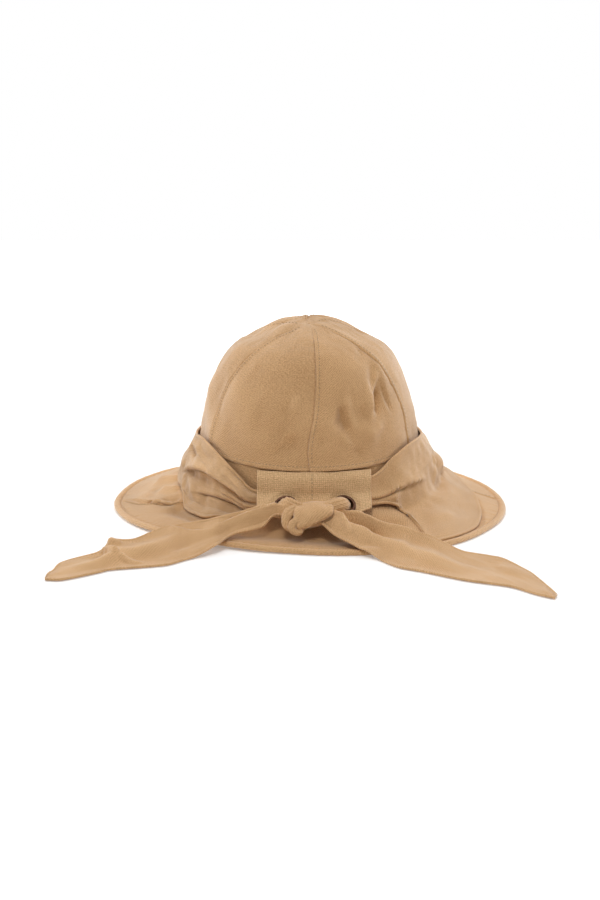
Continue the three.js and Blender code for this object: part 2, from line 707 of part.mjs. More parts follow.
function backTab() {
  return fromManifold(pierced(tabCloth(TAB.wall, 0), EYELET.barrelRadius + GAP));
}

// A metal ring with a broad front flange, a barrel through the cloth and a thin back flange.
function eyelet(grow = 0) {
  const front = EYELET.stand - grow;
  const rear = -TAB.wall - EYELET.stand + grow;
  const bore = EYELET.boreRadius - grow;
  const top = EYELET.stand + EYELET.flange + grow;
  const bottom = -TAB.wall - EYELET.stand - EYELET.back - grow;
  const profile = [
    [bore, bottom],
    [EYELET.backRadius + grow, bottom],
    [EYELET.backRadius + grow, rear],
    [EYELET.barrelRadius + grow, rear],
    [EYELET.barrelRadius + grow, front],
    [EYELET.flangeRadius + grow, front],
    [EYELET.flangeRadius - EYELET.bevel + grow, top],
    [bore + EYELET.roll, top - EYELET.roll / 3],
    [bore, bottom],
  ];
  const ring = new THREE.LatheGeometry(profile.map(([r, h]) => new THREE.Vector2(r, h)), EYELET.segments);
  return ring.rotateX(PI / 2);
}

// ---- knot and tie ends --------------------------------------------------------------------

// A rounded block in the plane across the knot.
function knotRing(row, grow) {
  const { slope, squareness, sides } = KNOT_SECTION;
  const ring = [];
  for (let k = 0; k < sides; k += 1) {
    const angle = (k / sides) * 2 * PI;
    const reach = 1 / (abs(cos(angle)) ** squareness + abs(sin(angle)) ** squareness) ** (1 / squareness);
    const depth = (row.halfDepth + grow) * reach * cos(angle);
    const rise = (row.halfHeight + grow) * reach * sin(angle);
    ring.push(new THREE.Vector3(
      row.x,
      row.y - depth * cos(slope) - rise * sin(slope),
      row.height + depth * sin(slope) + rise * cos(slope),
    ));
  }
  return ring;
}

// A round strand from the knot's body through an eyelet, along the eyelet's axis at first.
function strand(x, grow) {
  const place = atEyelet(new THREE.Object3D(), x);
  const axis = new THREE.Vector3(0, 0, 1).applyQuaternion(place.quaternion);
  const path = new THREE.CatmullRomCurve3([
    place.position.clone().addScaledVector(axis, -STRAND.inside),
    place.position.clone().addScaledVector(axis, STRAND.outside),
    ...STRAND_ROUTE.map((row) => new THREE.Vector3(mix(x, 0, row.inward), row.y, row.height)),
  ]);
  const rings = [];
  for (let i = 0; i <= STRAND.steps; i += 1) {
    const centre = path.getPointAt(i / STRAND.steps);
    const along = path.getTangentAt(i / STRAND.steps);
    const side = new THREE.Vector3(1, 0, 0).addScaledVector(along, -along.x).normalize();
    const rise = new THREE.Vector3().crossVectors(side, along);
    const ring = [];
    for (let k = 0; k < STRAND.sides; k += 1) {
      const angle = (k / STRAND.sides) * 2 * PI;
      ring.push(centre.clone()
        .addScaledVector(side, (STRAND.radius + grow) * cos(angle))
        .addScaledVector(rise, (STRAND.radius + grow) * sin(angle)));
    }
    rings.push(ring);
  }
  return loft(rings);
}

// The knot's body with its two strands, clear of the tab and of the eyelets.
function knotSolid(grow) {
  const rings = KNOT.map((row, i) => {
    const end = i === 0 ? -grow : i === KNOT.length - 1 ? grow : 0;
    return knotRing({ ...row, x: row.x + end }, grow);
  });
  let solid = toManifold(loft(rings));
  for (const x of [EYELET.leftX, EYELET.rightX]) solid = solid.add(toManifold(strand(x, grow)));
  return solid;
}

function knot() {
  const tunnel = pierced(tabCloth(TAB.tunnel, GAP), EYELET.boreRadius - GAP);
  let solid = knotSolid(0).subtract(tunnel);
  for (const x of [EYELET.leftX, EYELET.rightX]) {
    const room = eyelet(2 * GAP).applyMatrix4(atEyelet(new THREE.Object3D(), x).matrix);
    solid = solid.subtract(toManifold(room));
  }
  return fromManifold(largest(solid));
}

// Lowest height at which cloth can lie at a point of the plan: on the brim, the scarf or the floor.
function groundHeight(x, y) {
  const bearing = atan2(x, -y) / DEGREE;
  const radius = hypot(x, y);
  if (radius > rimRadius(bearing) + TAIL.pastRim) return 0;
  const cover = (bearing + 360) % 360;
  const inScarf = cover > SCARF_WRAP[0].bearing && radius < scarfLower(cover) + TAIL.pastScarf;
  return brimHeight(bearing, radius) + (inScarf ? SCARF.cloth + SCARF.clear : 0);
}

// A tie end: a doubled strip whose sections follow its table and rest on what is under them.
function tail(rows) {
  const steps = ceil(TAIL.stepsPerRow * (rows.length - 1));
  const numbered = rows.map((row, i) => ({ ...row, index: i }));
  const columns = ["nearX", "nearY", "nearZ", "farX", "farY", "farZ"];
  const read = Object.fromEntries(columns.map((name) => [name, smooth(numbered, "index", name)]));
  const grid = [];
  for (let i = 0; i <= steps; i += 1) {
    const at = (i / steps) * (rows.length - 1);
    const section = [];
    for (let j = 0; j <= TAIL.acrossSteps; j += 1) {
      const share = j / TAIL.acrossSteps;
      const x = mix(read.nearX(at), read.farX(at), share);
      const y = mix(read.nearY(at), read.farY(at), share);
      const height = mix(read.nearZ(at), read.farZ(at), share ** TAIL.sag);
      const ground = groundHeight(x, y);
      const lowest = ground + TAIL.cloth / 2 + (ground > 0 ? TAIL.clear : 0);
      section.push(new THREE.Vector3(x, y, max(height, lowest)));
    }
    grid.push(section);
  }
  const cloth = thicken(grid, TAIL.cloth);
  for (const section of cloth) {
    for (const point of [...section.outer, ...section.inner]) point.z = max(point.z, 0);
  }
  return cloth;
}

function tieEnd(rows) {
  return fromManifold(largest(toManifold(wall(tail(rows))).subtract(knotSolid(1.5 * GAP))));
}

// ---- assembly -----------------------------------------------------------------------------

const linen = () => new THREE.MeshStandardMaterial({ color: COLOURS.linen, roughness: 0.92, metalness: 0 });
const canvas = () => new THREE.MeshStandardMaterial({ color: COLOURS.canvas, roughness: 0.95, metalness: 0 });
const darkMetal = () => new THREE.MeshStandardMaterial({
  color: COLOURS.darkMetal,
  roughness: 0.4,
  metalness: 0.9,
});

const hat = new THREE.Group();

function add(name, geometry, material) {
  const mesh = new THREE.Mesh(geometry, material);
  mesh.name = name;
  hat.add(mesh);
  return mesh;
}

const PANELS = [
  { name: "crown_panel_back_left", from: -60 },
  { name: "crown_panel_back_right", from: 0 },
  { name: "crown_panel_side_right", from: 60 },
  { name: "crown_panel_front_right", from: 120 },
  { name: "crown_panel_front_left", from: 180 },
  { name: "crown_panel_side_left", from: 240 },
];
for (const panel of PANELS) add(panel.name, crownPanel(panel.from), linen());
add("band", band(), linen());
add("brim_back", brimHalf(LEFT_SEAM, RIGHT_SEAM), linen());
add("brim_front", brimHalf(RIGHT_SEAM, LEFT_SEAM + 360), linen());
add("scarf_wrap", scarfWrap(), linen());
add("back_tab", backTab(), canvas());
atEyelet(add("eyelet_left", eyelet(), darkMetal()), EYELET.leftX);
atEyelet(add("eyelet_right", eyelet(), darkMetal()), EYELET.rightX);
add("knot", knot(), linen());
add("tie_end_left", tieEnd(LEFT_TAIL), linen());
add("tie_end_right", tieEnd(RIGHT_TAIL), linen());

// The origin is under the middle of the whole hat's box.
hat.updateMatrixWorld(true);
const middle = new THREE.Box3().setFromObject(hat, true).getCenter(new THREE.Vector3());
hat.position.set(-middle.x, -middle.y, 0);

export default hat;
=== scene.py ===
"""Looks of a soft sun hat: a six-panel crown, a sloping brim and a scarf that is knotted behind.

Shapes are worked out in millimetres about the crown's upright axis, with bearings in degrees from
the hat's back (-Y) toward +X, and are then placed in the frame in metres.
"""

from types import SimpleNamespace as Sizes

import bmesh
import bpy
import numpy as np
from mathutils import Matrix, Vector


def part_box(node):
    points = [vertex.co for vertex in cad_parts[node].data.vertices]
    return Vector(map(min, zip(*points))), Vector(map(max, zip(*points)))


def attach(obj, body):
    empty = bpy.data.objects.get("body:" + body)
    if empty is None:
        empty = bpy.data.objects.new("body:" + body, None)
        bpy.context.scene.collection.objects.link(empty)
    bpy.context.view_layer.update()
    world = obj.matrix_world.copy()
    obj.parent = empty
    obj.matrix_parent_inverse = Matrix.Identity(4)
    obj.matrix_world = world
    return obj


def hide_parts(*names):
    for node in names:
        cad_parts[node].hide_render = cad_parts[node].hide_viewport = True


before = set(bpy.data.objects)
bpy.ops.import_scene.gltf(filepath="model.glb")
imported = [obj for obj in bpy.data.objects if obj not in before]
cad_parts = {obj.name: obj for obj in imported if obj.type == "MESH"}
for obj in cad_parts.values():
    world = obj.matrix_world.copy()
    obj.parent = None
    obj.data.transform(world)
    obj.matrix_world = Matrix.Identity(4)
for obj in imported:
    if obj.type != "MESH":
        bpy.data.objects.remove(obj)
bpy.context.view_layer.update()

MM = 0.001
CLOTH_MAP = "cloth"
# Attribute that tints the cloth: painted shade in creases, painted highlight on ridges, a painted
# sheen on the brim's sides, and lighter hems and panel halves.
PAINTED_LIGHT_ATTRIBUTE = "painted_light_and_tone"
band_low, band_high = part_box("band")
CROWN_AXIS = np.array([(band_low.x + band_high.x) / 2, (band_low.y + band_high.y) / 2, 0])


# ---- tables and curves ----


def table(columns, *rows):
    """Rows with named columns."""
    return [dict(zip(columns.split(), row)) for row in rows]


def column(rows, name):
    return np.array([row[name] for row in rows], float)


def smooth(rows, key, name):
    """A smooth function through one column of a table, which never overshoots its rows."""
    at, value = column(rows, key), column(rows, name)
    slope = np.diff(value) / np.diff(at)
    before, after = np.r_[slope[0], slope], np.r_[slope, slope[-1]]
    both = np.where(before * after > 0, before + after, 1)
    tangent = np.where(before * after > 0, 2 * before * after / both, 0)

    def read(x):
        x = np.clip(x, at[0], at[-1])
        i = np.clip(np.searchsorted(at, x, side="right") - 1, 0, len(slope) - 1)
        span = at[i + 1] - at[i]
        t = (x - at[i]) / span
        straight = value[i] + (value[i + 1] - value[i]) * t * t * (3 - 2 * t)
        return straight + t * (1 - t) * span * ((1 - t) * tangent[i] - t * tangent[i + 1])

    return read


def spline(points, steps=40):
    """Dense points on a smooth curve through points, and their distances along it."""
    points = np.asarray(points, float)
    ends = np.vstack([points[:1], points, points[-1:]])
    t = np.linspace(0, 1, steps, endpoint=False)[:, None]
    dense = []
    for a, b, c, d in zip(ends, ends[1:], ends[2:], ends[3:]):
        start, end = (c - a) / 2, (d - b) / 2
        dense.append(
            (2 * t**3 - 3 * t**2 + 1) * b + (t**3 - 2 * t**2 + t) * start
            + (3 * t**2 - 2 * t**3) * c + (t**3 - t**2) * end
        )
    dense = np.vstack([*dense, points[-1:]])
    along = np.r_[0, np.cumsum(np.linalg.norm(np.diff(dense, axis=0), axis=1))]
    return dense, along


def on_curve(curve, share):
    """Places at shares of a curve's length."""
    dense, along = curve
    at = np.asarray(share) * along[-1]
    return np.stack([np.interp(at, along, dense[:, k]) for k in range(dense.shape[1])], -1)


def step(x, start, end):
    """0 before start, 1 after end, and smooth between."""
    t = np.clip((x - start) / (end - start), 0, 1)
    return t * t * (3 - 2 * t)


def ellipse(bearing, half_width, half_length):
    turn = np.radians(bearing)
    return 1 / np.hypot(np.sin(turn) / half_width, np.cos(turn) / half_length)


def polar(bearing, radius, height):
    """Points at bearings and distances from the crown's axis."""
    turn = np.radians(bearing)
    return np.stack(np.broadcast_arrays(radius * np.sin(turn), -radius * np.cos(turn), height), -1)


def wrapped(bearing):
    return (np.asarray(bearing) + 180) % 360 - 180


def unevenness(x, y, wavelength, height, seed):
    """Gentle random waves of the cloth's surface."""
    random = np.random.default_rng(seed)
    waves = 14
    angles = random.uniform(0, np.pi, waves)
    phases = random.uniform(0, 2 * np.pi, waves)
    scales = random.uniform(0.7, 1.6, waves)
    total = 0
    for angle, phase, scale in zip(angles, phases, scales):
        pace = 2 * np.pi / (wavelength * scale)
        total = total + np.sin(pace * (x * np.cos(angle) + y * np.sin(angle)) + phase)
    return total * height / np.sqrt(waves / 2)


def rumpled(x, y, cloth, seed):
    """Long waves of a cloth, with short ones on them."""
    long = unevenness(x, y, *WAVES[cloth]["long"], seed)
    return long + unevenness(x, y, *WAVES[cloth]["short"], seed + 1)


def hump(distance, width):
    """1 at no distance, and fading to nothing on both sides of it."""
    return np.exp(-((distance / width) ** 2))


def nearest(values, wanted):
    """Index of the value that is closest to the wanted one."""
    return int(np.argmin(np.abs(values - wanted)))


CREASE = "x1 y1 x2 y2 height width bow taper kind"
TAPER = 0.3
END_SHARE = 0.15
PLEAT = Sizes(step=0.45, sink=0.45, sink_width=0.6)


def relief(creases, x, y, scale):
    """Height of a table of creases at places x, y.

    A crease runs from one place to another, bowed to its side by bow, and fades to a small share
    at its two ends, over the share taper of its length. It is a ridge (or dip), as wide as its
    width on each side, or a pleat, which stands up along its line, slopes away on its left side
    over its width, and drops on its right. A row that is cut short is a straight ridge with the
    usual taper.
    """
    total = np.zeros(np.broadcast(x, y).shape)
    for crease in creases:
        width, bow, taper = crease["width"], crease.get("bow", 0), crease.get("taper", TAPER)
        run = (crease["x2"] - crease["x1"]) * scale[0]
        rise = (crease["y2"] - crease["y1"]) * scale[1]
        length = np.hypot(run, rise)
        right = (x - crease["x1"]) * scale[0]
        down = (y - crease["y1"]) * scale[1]
        along = (right * run + down * rise) / length**2
        away = (right * rise - down * run) / length
        inside = np.clip(along, 0, 1)
        away = away - bow * 4 * inside * (1 - inside)
        past = np.maximum(np.maximum(-along, along - 1), 0) * length
        from_end = np.minimum(step(along, 0, taper), step(1 - along, 0, taper))
        fade = hump(past, width) * (END_SHARE + (1 - END_SHARE) * from_end)
        if crease.get("kind") != "pleat":
            shape = hump(away, width)
        else:
            raised = np.exp(-np.abs(away) / width)
            sunk = -PLEAT.sink * np.exp(-np.abs(away) / (PLEAT.sink_width * width))
            side = step(away, -PLEAT.step, PLEAT.step)
            shape = raised * side + sunk * (1 - side)
        total += crease["height"] * fade * shape
    return total


# ---- sizes ----

CROWN = Sizes(
    length_ratio=1.06, apex=159, seam_height=60, seam_tilt=10.5, wall=1.6, puff=1.3,
    tip_behind=21, lean_from=0.2, lean_to=0.7,
)
# Bearings at which the panels start, each a sixth of the crown.
PANELS = dict(
    back_left=-60, back_right=0, side_right=60, front_right=120, front_left=180, side_left=240,
)
PANEL = Sizes(
    angle=60, columns=46, rows=96, tip_gap=0.35, narrow=14, widens=(8, 48), fold=0.5,
    fold_ends=(2.9, 4.4), groove=0.45, under_tab=1.5, wave=(48, 0.45), fine_wave=(15, 0.1),
)
# Distances of a panel's rows above its lower edge, and of its columns from a seam.
PANEL_ROWS = (0, 0.15, 0.5, 1.1, 1.7, 2.1, 2.5, 3.1, 3.9)
PANEL_COLUMNS = (0.05, 0.35, 0.8, 1.3, 1.9, 2.5, 3, 3.5, 4.2, 5)
# A seam: the pinched line, the allowance that lies beside it, and the groove of its stitches.
SEAM = Sizes(
    pinch=0.5, pinch_width=0.9, raised=0.6, rises=(0.2, 1.2), ends=(3.4, 4.4), groove=0.4,
    groove_width=0.45,
)
PUCKERS = Sizes(lengths=(5.5, 8.3, 13), height=0.11, reach=5)
BAND = Sizes(
    root_half_width=96, root_half_length=99.5, root_height=33, root_tilt=10, wall=1.6, tuck=0.7,
    columns=300, clear=0.3, inset=1.4, inset_over=(-0.6, 0.8), lean=0.1, wave=(30, 0.2),
)
# How far the band's top rows stand up behind the crown's lower edge.
BAND_TOP = (4.5, 3.2, 2, 1, 0.2, 0, 0, 0)
BRIM = Sizes(
    bead=4.3, wall=1.8, wall_at_hem=3.5, hem_width=6, per_degree=2.4, column=0.5, pull=1.6,
    seam_allowance=0.8, seam=0.8, left_seam=1.3, left_seam_angle=30, ripple=0.12, seam_dip=0.35,
    wear=0.5, fading=0.7, faded_over=(95, 140),
)
# Angles of the brim's columns from a seam.
BRIM_COLUMNS = (0, 0.08, 0.25, 0.5, 0.85, 1.2, 1.6, 2.2)
SCARF = Sizes(
    cloth=2, clear=0.5, over_edge=0.4, corner_room=1, corner=13, sink_before=0.8,
    sink_after=2.6, sink_from=6, sink_to=15, laid_over=(116, 124), laid=0.7, wear=0.3,
)
# Bearings from which the scarf's sections follow one another at a spacing.
SCARF_ROWS = table(
    "start spacing", (7, 0.55), (38, 0.12), (42.6, 0.55), (62, 0.8), (110, 1.4), (255, 0.6),
)
# A folded and stitched edge: its height, where it ends and the groove of its stitches.
HEM = Sizes(raised=0.35, ends=(2.2, 3.4), groove=0.5, groove_width=0.5, stitched_at=2.4)
FLAP = Sizes(
    bearing=39.9, radius=116, skew=6.4, skew_over=(116, 160), swings_over=(37.5, 39.5),
    stays_over=(43, 80),
)
TAB = Sizes(
    left=-40.5, right=47.2, wall=1.8, seam_x=1.6, seam_lean=0.03, corner=17, corner_lift=5.5,
    bulge=1.2, bulge_over=(30, 44), wave=(26, 0.35),
)
EYELET = Sizes(radius=112.6, height=26.4, tilt=52, hole=7.8, hole_sides=48, hole_reach=9, sides=72)
EYELET_X = dict(left=-18.3, right=25.8)
STITCH = Sizes(
    length=2.3, gap=0.75, radius=0.3, arch=1.1, sunk=0.7, thin_end=0.35, seam_distance=3,
    edge_distance=3.2,
)

CROWN_OUTLINE = table(
    "half_width height",
    (90.7, 60), (87.7, 76), (84.3, 90), (79, 106), (71.8, 122),
    (65, 132), (56, 139.5), (39, 148), (22, 154.8), (0, 159),
)
CROWN_DENTS = table(
    "bearing up depth half_angle half_up",
    (21, 0.25, 3.2, 6, 0.09), (30, 0.17, -1.8, 4, 0.1), (41, 0.36, 3.4, 5, 0.12),
    (49, 0.44, -1.8, 4, 0.08), (-12, 0.27, -1.2, 4, 0.1), (-10, 0.12, 1.8, 4, 0.06),
    (-80, 0.68, 2.4, 22, 0.09), (86, 0.68, 2, 20, 0.09), (150, 0.4, 1.8, 12, 0.16),
    (-152, 0.3, 1.6, 10, 0.14),
)
CROWN_CREASES = table(
    CREASE,
    (20, 0.36, 24.5, 0.15, 2.7, 3.2, 1.5), (15.8, 0.31, 20, 0.17, -3.2, 4.2),
    (9, 0.25, 13.3, 0.155, 1.9, 3.8), (27.5, 0.3, 30, 0.2, -1.9, 3.8),
    (34, 0.25, 37, 0.36, 2, 3.2), (46, 0.46, 37, 0.33, 2.4, 2.8),
    (43.4, 0.38, 36, 0.22, -3.1, 3), (46, 0.4, 48.5, 0.22, -1.9, 2.2),
    (36, 0.42, 31, 0.26, 1.2, 4), (15, 0.17, 22, 0.075, 1.9, 2.5),
    (18, 0.12, 26, 0.05, -1.7, 3), (11, 0.2, 17, 0.25, -1.5, 3), (24, 0.2, 34, 0.14, 1.2, 3.8),
    (30, 0.5, 44, 0.6, -1, 5), (-6, 0.36, -9.5, 0.26, 1.6, 3.2),
    (-10, 0.33, -13, 0.24, -1.2, 3.8), (-12, 0.17, -5, 0.11, -1.3, 3.8),
    (-5, 0.11, -22, 0.07, -0.94, 3.8, 0, 0.4), (-7, 0.2, -14, 0.13, 1.3, 3),
    (-24, 0.3, -30, 0.12, -0.85, 6.2), (30, 0.12, 40, 0.2, 1.4, 4.2),
    (6, 0.1, 4, 0.22, -1, 2.8), (105, 0.2, 118, 0.5, 1.4, 6, 2),
    (146, 0.15, 160, 0.42, -1.6, 6, -2), (-172, 0.34, -160, 0.16, 1.3, 5),
    (-135, 0.35, -120, 0.2, 1.5, 5, 2), (-92, 0.3, -80, 0.5, -1.3, 5),
)
# How far the centre-back seam strays to the right, in millimetres.
SEAM_DRIFT = table(
    "up shift",
    (0, -0.3), (0.08, -1.4), (0.14, -0.8), (0.24, 1.8), (0.35, 2.8), (0.5, 3.1), (0.7, 2.6), (1, 1),
)
RIM = table(
    "bearing radius lift",
    (-180, 165, 0.5), (-135, 167, 3.5), (-115, 163, 4.4), (-90, 163.5, 1.6), (-70, 158.5, 0.3),
    (-50, 153.5, 1.5), (-28, 151, 1.8), (-10, 151.5, 0.6), (5, 156, 0), (20, 161.5, 0),
    (40, 166.5, 0), (60, 164, 0), (90, 164, 0.8), (112, 163, 2.8), (135, 167, 2.4), (180, 165, 0.5),
)
BRIM_FALL = table("along fall", (0, 0), (0.2, 0.28), (0.45, 0.56), (0.7, 0.79), (1, 1))
# Section of the turned hem: above the rim's widest point and below it.
HEM_TOP = table(
    "inset height",
    (6.1, 3.35), (5.6, 2.5), (5.1, 3.3), (4.3, 3.95), (3.2, 4.25), (2, 4.15), (1, 3.65), (0.3, 2.9),
    (0, 2.2),
)
HEM_UNDER = table(
    "inset height",
    (6, 1.65), (5.6, 1.4), (5.1, 0.9), (4.3, 0.2), (3.4, 0), (2.2, 0), (1.2, 0.25), (0.4, 1),
    (0, 1.9),
)
BRIM_CREASES = table(
    CREASE,
    (-90, 0.98, -62, 0.42, 2.8, 9, 0, 0.25, "pleat"), (-84, 0.5, -72, 0.26, 4.4, 5),
    (-98, 0.6, -88, 0.2, 4.4, 5, 0, 0.2), (-90, 0.5, -77, 0.66, -1.6, 5),
    (-72, 0.56, -64, 0.36, -3.4, 4.5), (-64, 0.5, -36, 0.62, -4.6, 8, 0, 0.2),
    (-74, 0.8, -52, 0.82, 1.4, 6, 0, 0.2), (-118, 0.2, -108, 0.75, 2, 9, 0, 0.2),
    (150, 0.1, 158, 0.8, 2, 12, 0, 0.2), (-55, 0.75, -25, 0.7, 1, 6),
    (95, 0.35, 120, 0.7, 1.6, 9), (10, 0.38, 37, 0.52, -3.6, 9, 0, 0.25),
    (-32, 0.62, 22, 0.6, -4.6, 17, 0, 0.2), (-175, 0.3, -150, 0.65, 1.6, 11),
)
# How far the brim's left seam strays toward the back, in degrees.
BRIM_SEAM_DRIFT = table(
    "along shift", (0, 28), (0.3, 28), (0.45, 25), (0.6, 17.5), (0.8, 12), (0.93, 5), (1, 2),
)
SCARF_WRAP = table(
    "bearing top belly lower lift stand_off sink",
    (7, 40, 0, 106, 0.4, 0, 0), (28, 43.5, 0, 105.5, 0.8, 0.3, 0), (33, 46.5, 0, 106.5, 1.4, 0.3, 0.5),
    (37.5, 50.5, 0.6, 109.5, 1.4, 0.2, 1.2), (39, 52, 0.9, 114, 1.2, 0.1, 1.6),
    (39.8, 52.8, 1.1, 125, 0.9, 0, 1.8), (40.6, 53.6, 1.3, 142, 0.6, 0, 1.8),
    (41.4, 54.4, 1.5, 155, 0.4, 0, 1.8), (44, 56.4, 2.1, 160.5, 0.1, 0, 1.7),
    (50, 60, 3, 160, 0, 0, 1.7), (58, 63, 3, 157.5, 0, 0, 1.8), (66, 64, 5, 151, 0, 0, 1.8),
    (78, 64, 8, 142, 0.1, 0, 1.6), (90, 63, 11, 136, 0.3, 0, 1.2), (105, 63, 13, 133, 0.4, 0, 0.8),
    (125, 64, 9, 126, 0.4, 0, 0.6), (150, 66, 4, 118, 0.4, 0, 0.6), (180, 68, 2, 116, 0.4, 0, 0.6),
    (220, 66, 3, 114, 0.4, 0, 0.6), (255, 64, 6, 111, 0.4, 0, 0.6), (278, 63.5, 7, 109, 0.4, 0, 0.6),
    (292, 65, 4, 111, 0.3, 0, 1.2), (304, 62, 3, 118, 0.1, 0.6, 1.8), (316, 54, 1, 120, 0, 1.6, 1.8),
    (326, 45, 0, 117, 0, 3, 1.8), (335, 35, 0, 111, 0.1, 3, 1.6), (342, 34, 0, 108, 0.2, 1, 0.8),
    (357, 34, 0, 106, 0.4, 0, 0),
)
# Across is in millimetres below the scarf's upper edge.
SCARF_CREASES = table(
    CREASE,
    (284, 32, 338, 9.5, 4.2, 9, 2.5, 0.15, "pleat"),
    (303, 41, 340, 13, 3, 6, 1.5, 0.25, "pleat"), (316, 25, 341, 11.5, 1.4, 4, 0, 0.3, "pleat"),
    (289, 34, 312, 27, -2.4, 5, 1, 0.25), (286, 33, 291, 50, 1.7, 3.2, 0, 0.15),
    (289, 33, 306, 43, 1.6, 3.2, 0, 0.2), (310, 36, 324, 30, 1.4, 3, 0, 0.25),
    (294, 44, 306, 49, -1, 5, 0, 0.25), (280, 9, 294, 17, -4.8, 2.4, 0, 0.15),
    (281, 4.5, 297, 12, 2, 3.2), (320, 1.5, 341, 1.5, -3.2, 3, 0, 0.25),
    (316, 6, 341, 6, 1.4, 2.4, 0, 0.25), (272, 22, 284, 30, 2.4, 5), (298, 24, 318, 14, 0.9, 5),
    (19, 12, 61, 33, 2.8, 8, -1, 0.2, "pleat"), (19, 17, 44, 30, 2.2, 3.2, 0, 0.2),
    (81, 19, 78.5, 29, 1.9, 2.6, 0, 0.25), (79, 27, 70, 42, 1.5, 3), (89, 20, 83, 46, -2.2, 6),
    (94, 22, 99, 60, 2.2, 8), (60, 44, 80, 60, 1.2, 7), (44, 62, 60, 76, 1, 6),
    (46, 50, 64, 56, -1, 6), (108, 20, 170, 18, 2.4, 8, 0, 0.3, "pleat"),
    (150, 30, 215, 26, -2, 5), (190, 15, 256, 19, 2.2, 8, 0, 0.3, "pleat"),
    (228, 32, 275, 28, 2, 6), (118, 44, 150, 34, 1.8, 6),
)
# Millimetres in one unit of x and in one of y, where creases are placed by bearing or by share.
CREASE_SCALE = Sizes(crown=(1.6, 150), brim=(2.2, 62), scarf=(1.8, 1), tail=(1, 45))
# Waves of a cloth: the length and height of its long ones and of its short ones.
WAVES = dict(
    brim=dict(long=(55, 0.7), short=(17, 0.12)), scarf=dict(long=(34, 0.8), short=(12, 0.14)),
    tail=dict(long=(30, 0.7), short=(11, 0.12)),
)

TAB_SECTION = table(
    "radius height",
    (97.6, 49.6), (98.6, 48.4), (101.6, 44.5), (103, 39.5), (104.2, 33.8), (108.4, 29.7),
    (116.8, 23.1), (120.8, 20),
)
# Section of an eyelet round its axis: the rolled front flange, the bore and the back washer.
EYELET_SECTION = table(
    "radius height",
    (7.5, 0.9), (8.6, 0.85), (8.9, 1.05), (8.9, 1.35), (8.7, 1.65), (8.2, 1.85), (7.7, 1.85),
    (7.2, 1.7), (6.85, 1.6), (6.7, 1), (6.7, -3.3), (7.2, -3.4), (9, -3.4), (9, -2.7), (7.5, -2.7),
)
# The broad turn of cloth across the knot, from behind its top, over its front and under it.
KNOT_WRAP = table(
    "left_x left_y left_z right_x right_y right_z",
    (-12.3, -109, 21, 16, -109, 23),
    (-12.6, -113, 25.8, 16.8, -112.5, 27.8),
    (-12.8, -118, 28, 17.2, -117, 29.8),
    (-12.6, -126, 27.2, 17.2, -124.5, 29),
    (-12.2, -131.5, 23.5, 16.4, -130, 25.6),
    (-11.6, -134.5, 19.6, 11.5, -132, 22.4),
    (-10.2, -135.6, 17, 4, -133, 20),
    (-9.4, -134.4, 15, -2, -132, 17.4),
    (-7, -130, 14, -1, -128, 15.5),
)
# Lengths of gathered cloth: sections along the middle of each, from its start to its end.
ROPE_COLUMNS = "x y z half_width half_height"
ROPE = Sizes(
    sides=56, squareness=2.5, spacing=0.8, lobes=(5, 6, 7), twist=0.03, end=1.5,
    facing=(0, -0.85, 0.53),
)
KNOT_LOOP_OUTER = table(
    ROPE_COLUMNS,
    (-6, -120, 25, 3.4, 3.4), (-11.6, -123, 26.2, 3.8, 3.4), (-16, -127.5, 24.4, 3.9, 3.2),
    (-17.6, -131, 20, 3.5, 3), (-16.4, -132.5, 16.4, 3.2, 2.8), (-12.6, -131.5, 14.8, 2.8, 2.5),
    (-7, -128, 14.5, 2.2, 2.2),
)
KNOT_LOOP_INNER = table(
    ROPE_COLUMNS,
    (-6, -130, 21.5, 2.2, 2.2), (-10.8, -133.5, 20.4, 2.8, 2.5), (-13.6, -135.8, 16.8, 2.9, 2.5),
    (-12.2, -136.8, 13.8, 2.6, 2.4), (-8.4, -136.6, 12.6, 2.2, 2.1), (-6, -134.5, 14, 1.6, 1.6),
)
STRAND_LEFT = table(
    ROPE_COLUMNS,
    (-17, -105, 21.4, 5.8, 5.2), (-18, -110.5, 26.4, 5.9, 5.5), (-16.8, -115, 27.9, 5.9, 4.8),
    (-12, -119, 26.8, 5.6, 4.2), (-5, -121, 25, 5, 4),
)
STRAND_RIGHT = table(
    ROPE_COLUMNS,
    (24.4, -105, 21.6, 5.6, 5.2), (24.6, -110.5, 26.3, 5.9, 5.5), (22.4, -115, 27.9, 5.9, 5.2),
    (17, -118.5, 27.2, 5.6, 4.8), (10, -121, 25, 5, 4),
)
KNOT_CORE = table(
    ROPE_COLUMNS,
    (-15, -124, 19.5, 4, 3), (-11, -123.5, 20.5, 8.5, 4.6), (-4, -122.5, 21.5, 9.5, 5.4),
    (6, -121.5, 22.5, 9, 5), (12, -120.5, 23, 6.5, 4.6), (16, -120, 23.5, 3.4, 3),
)
KNOT_TURN = Sizes(cloth=2.4, bulge=0.9, tuck=1.5, wave=(16, 0.35), width=30)
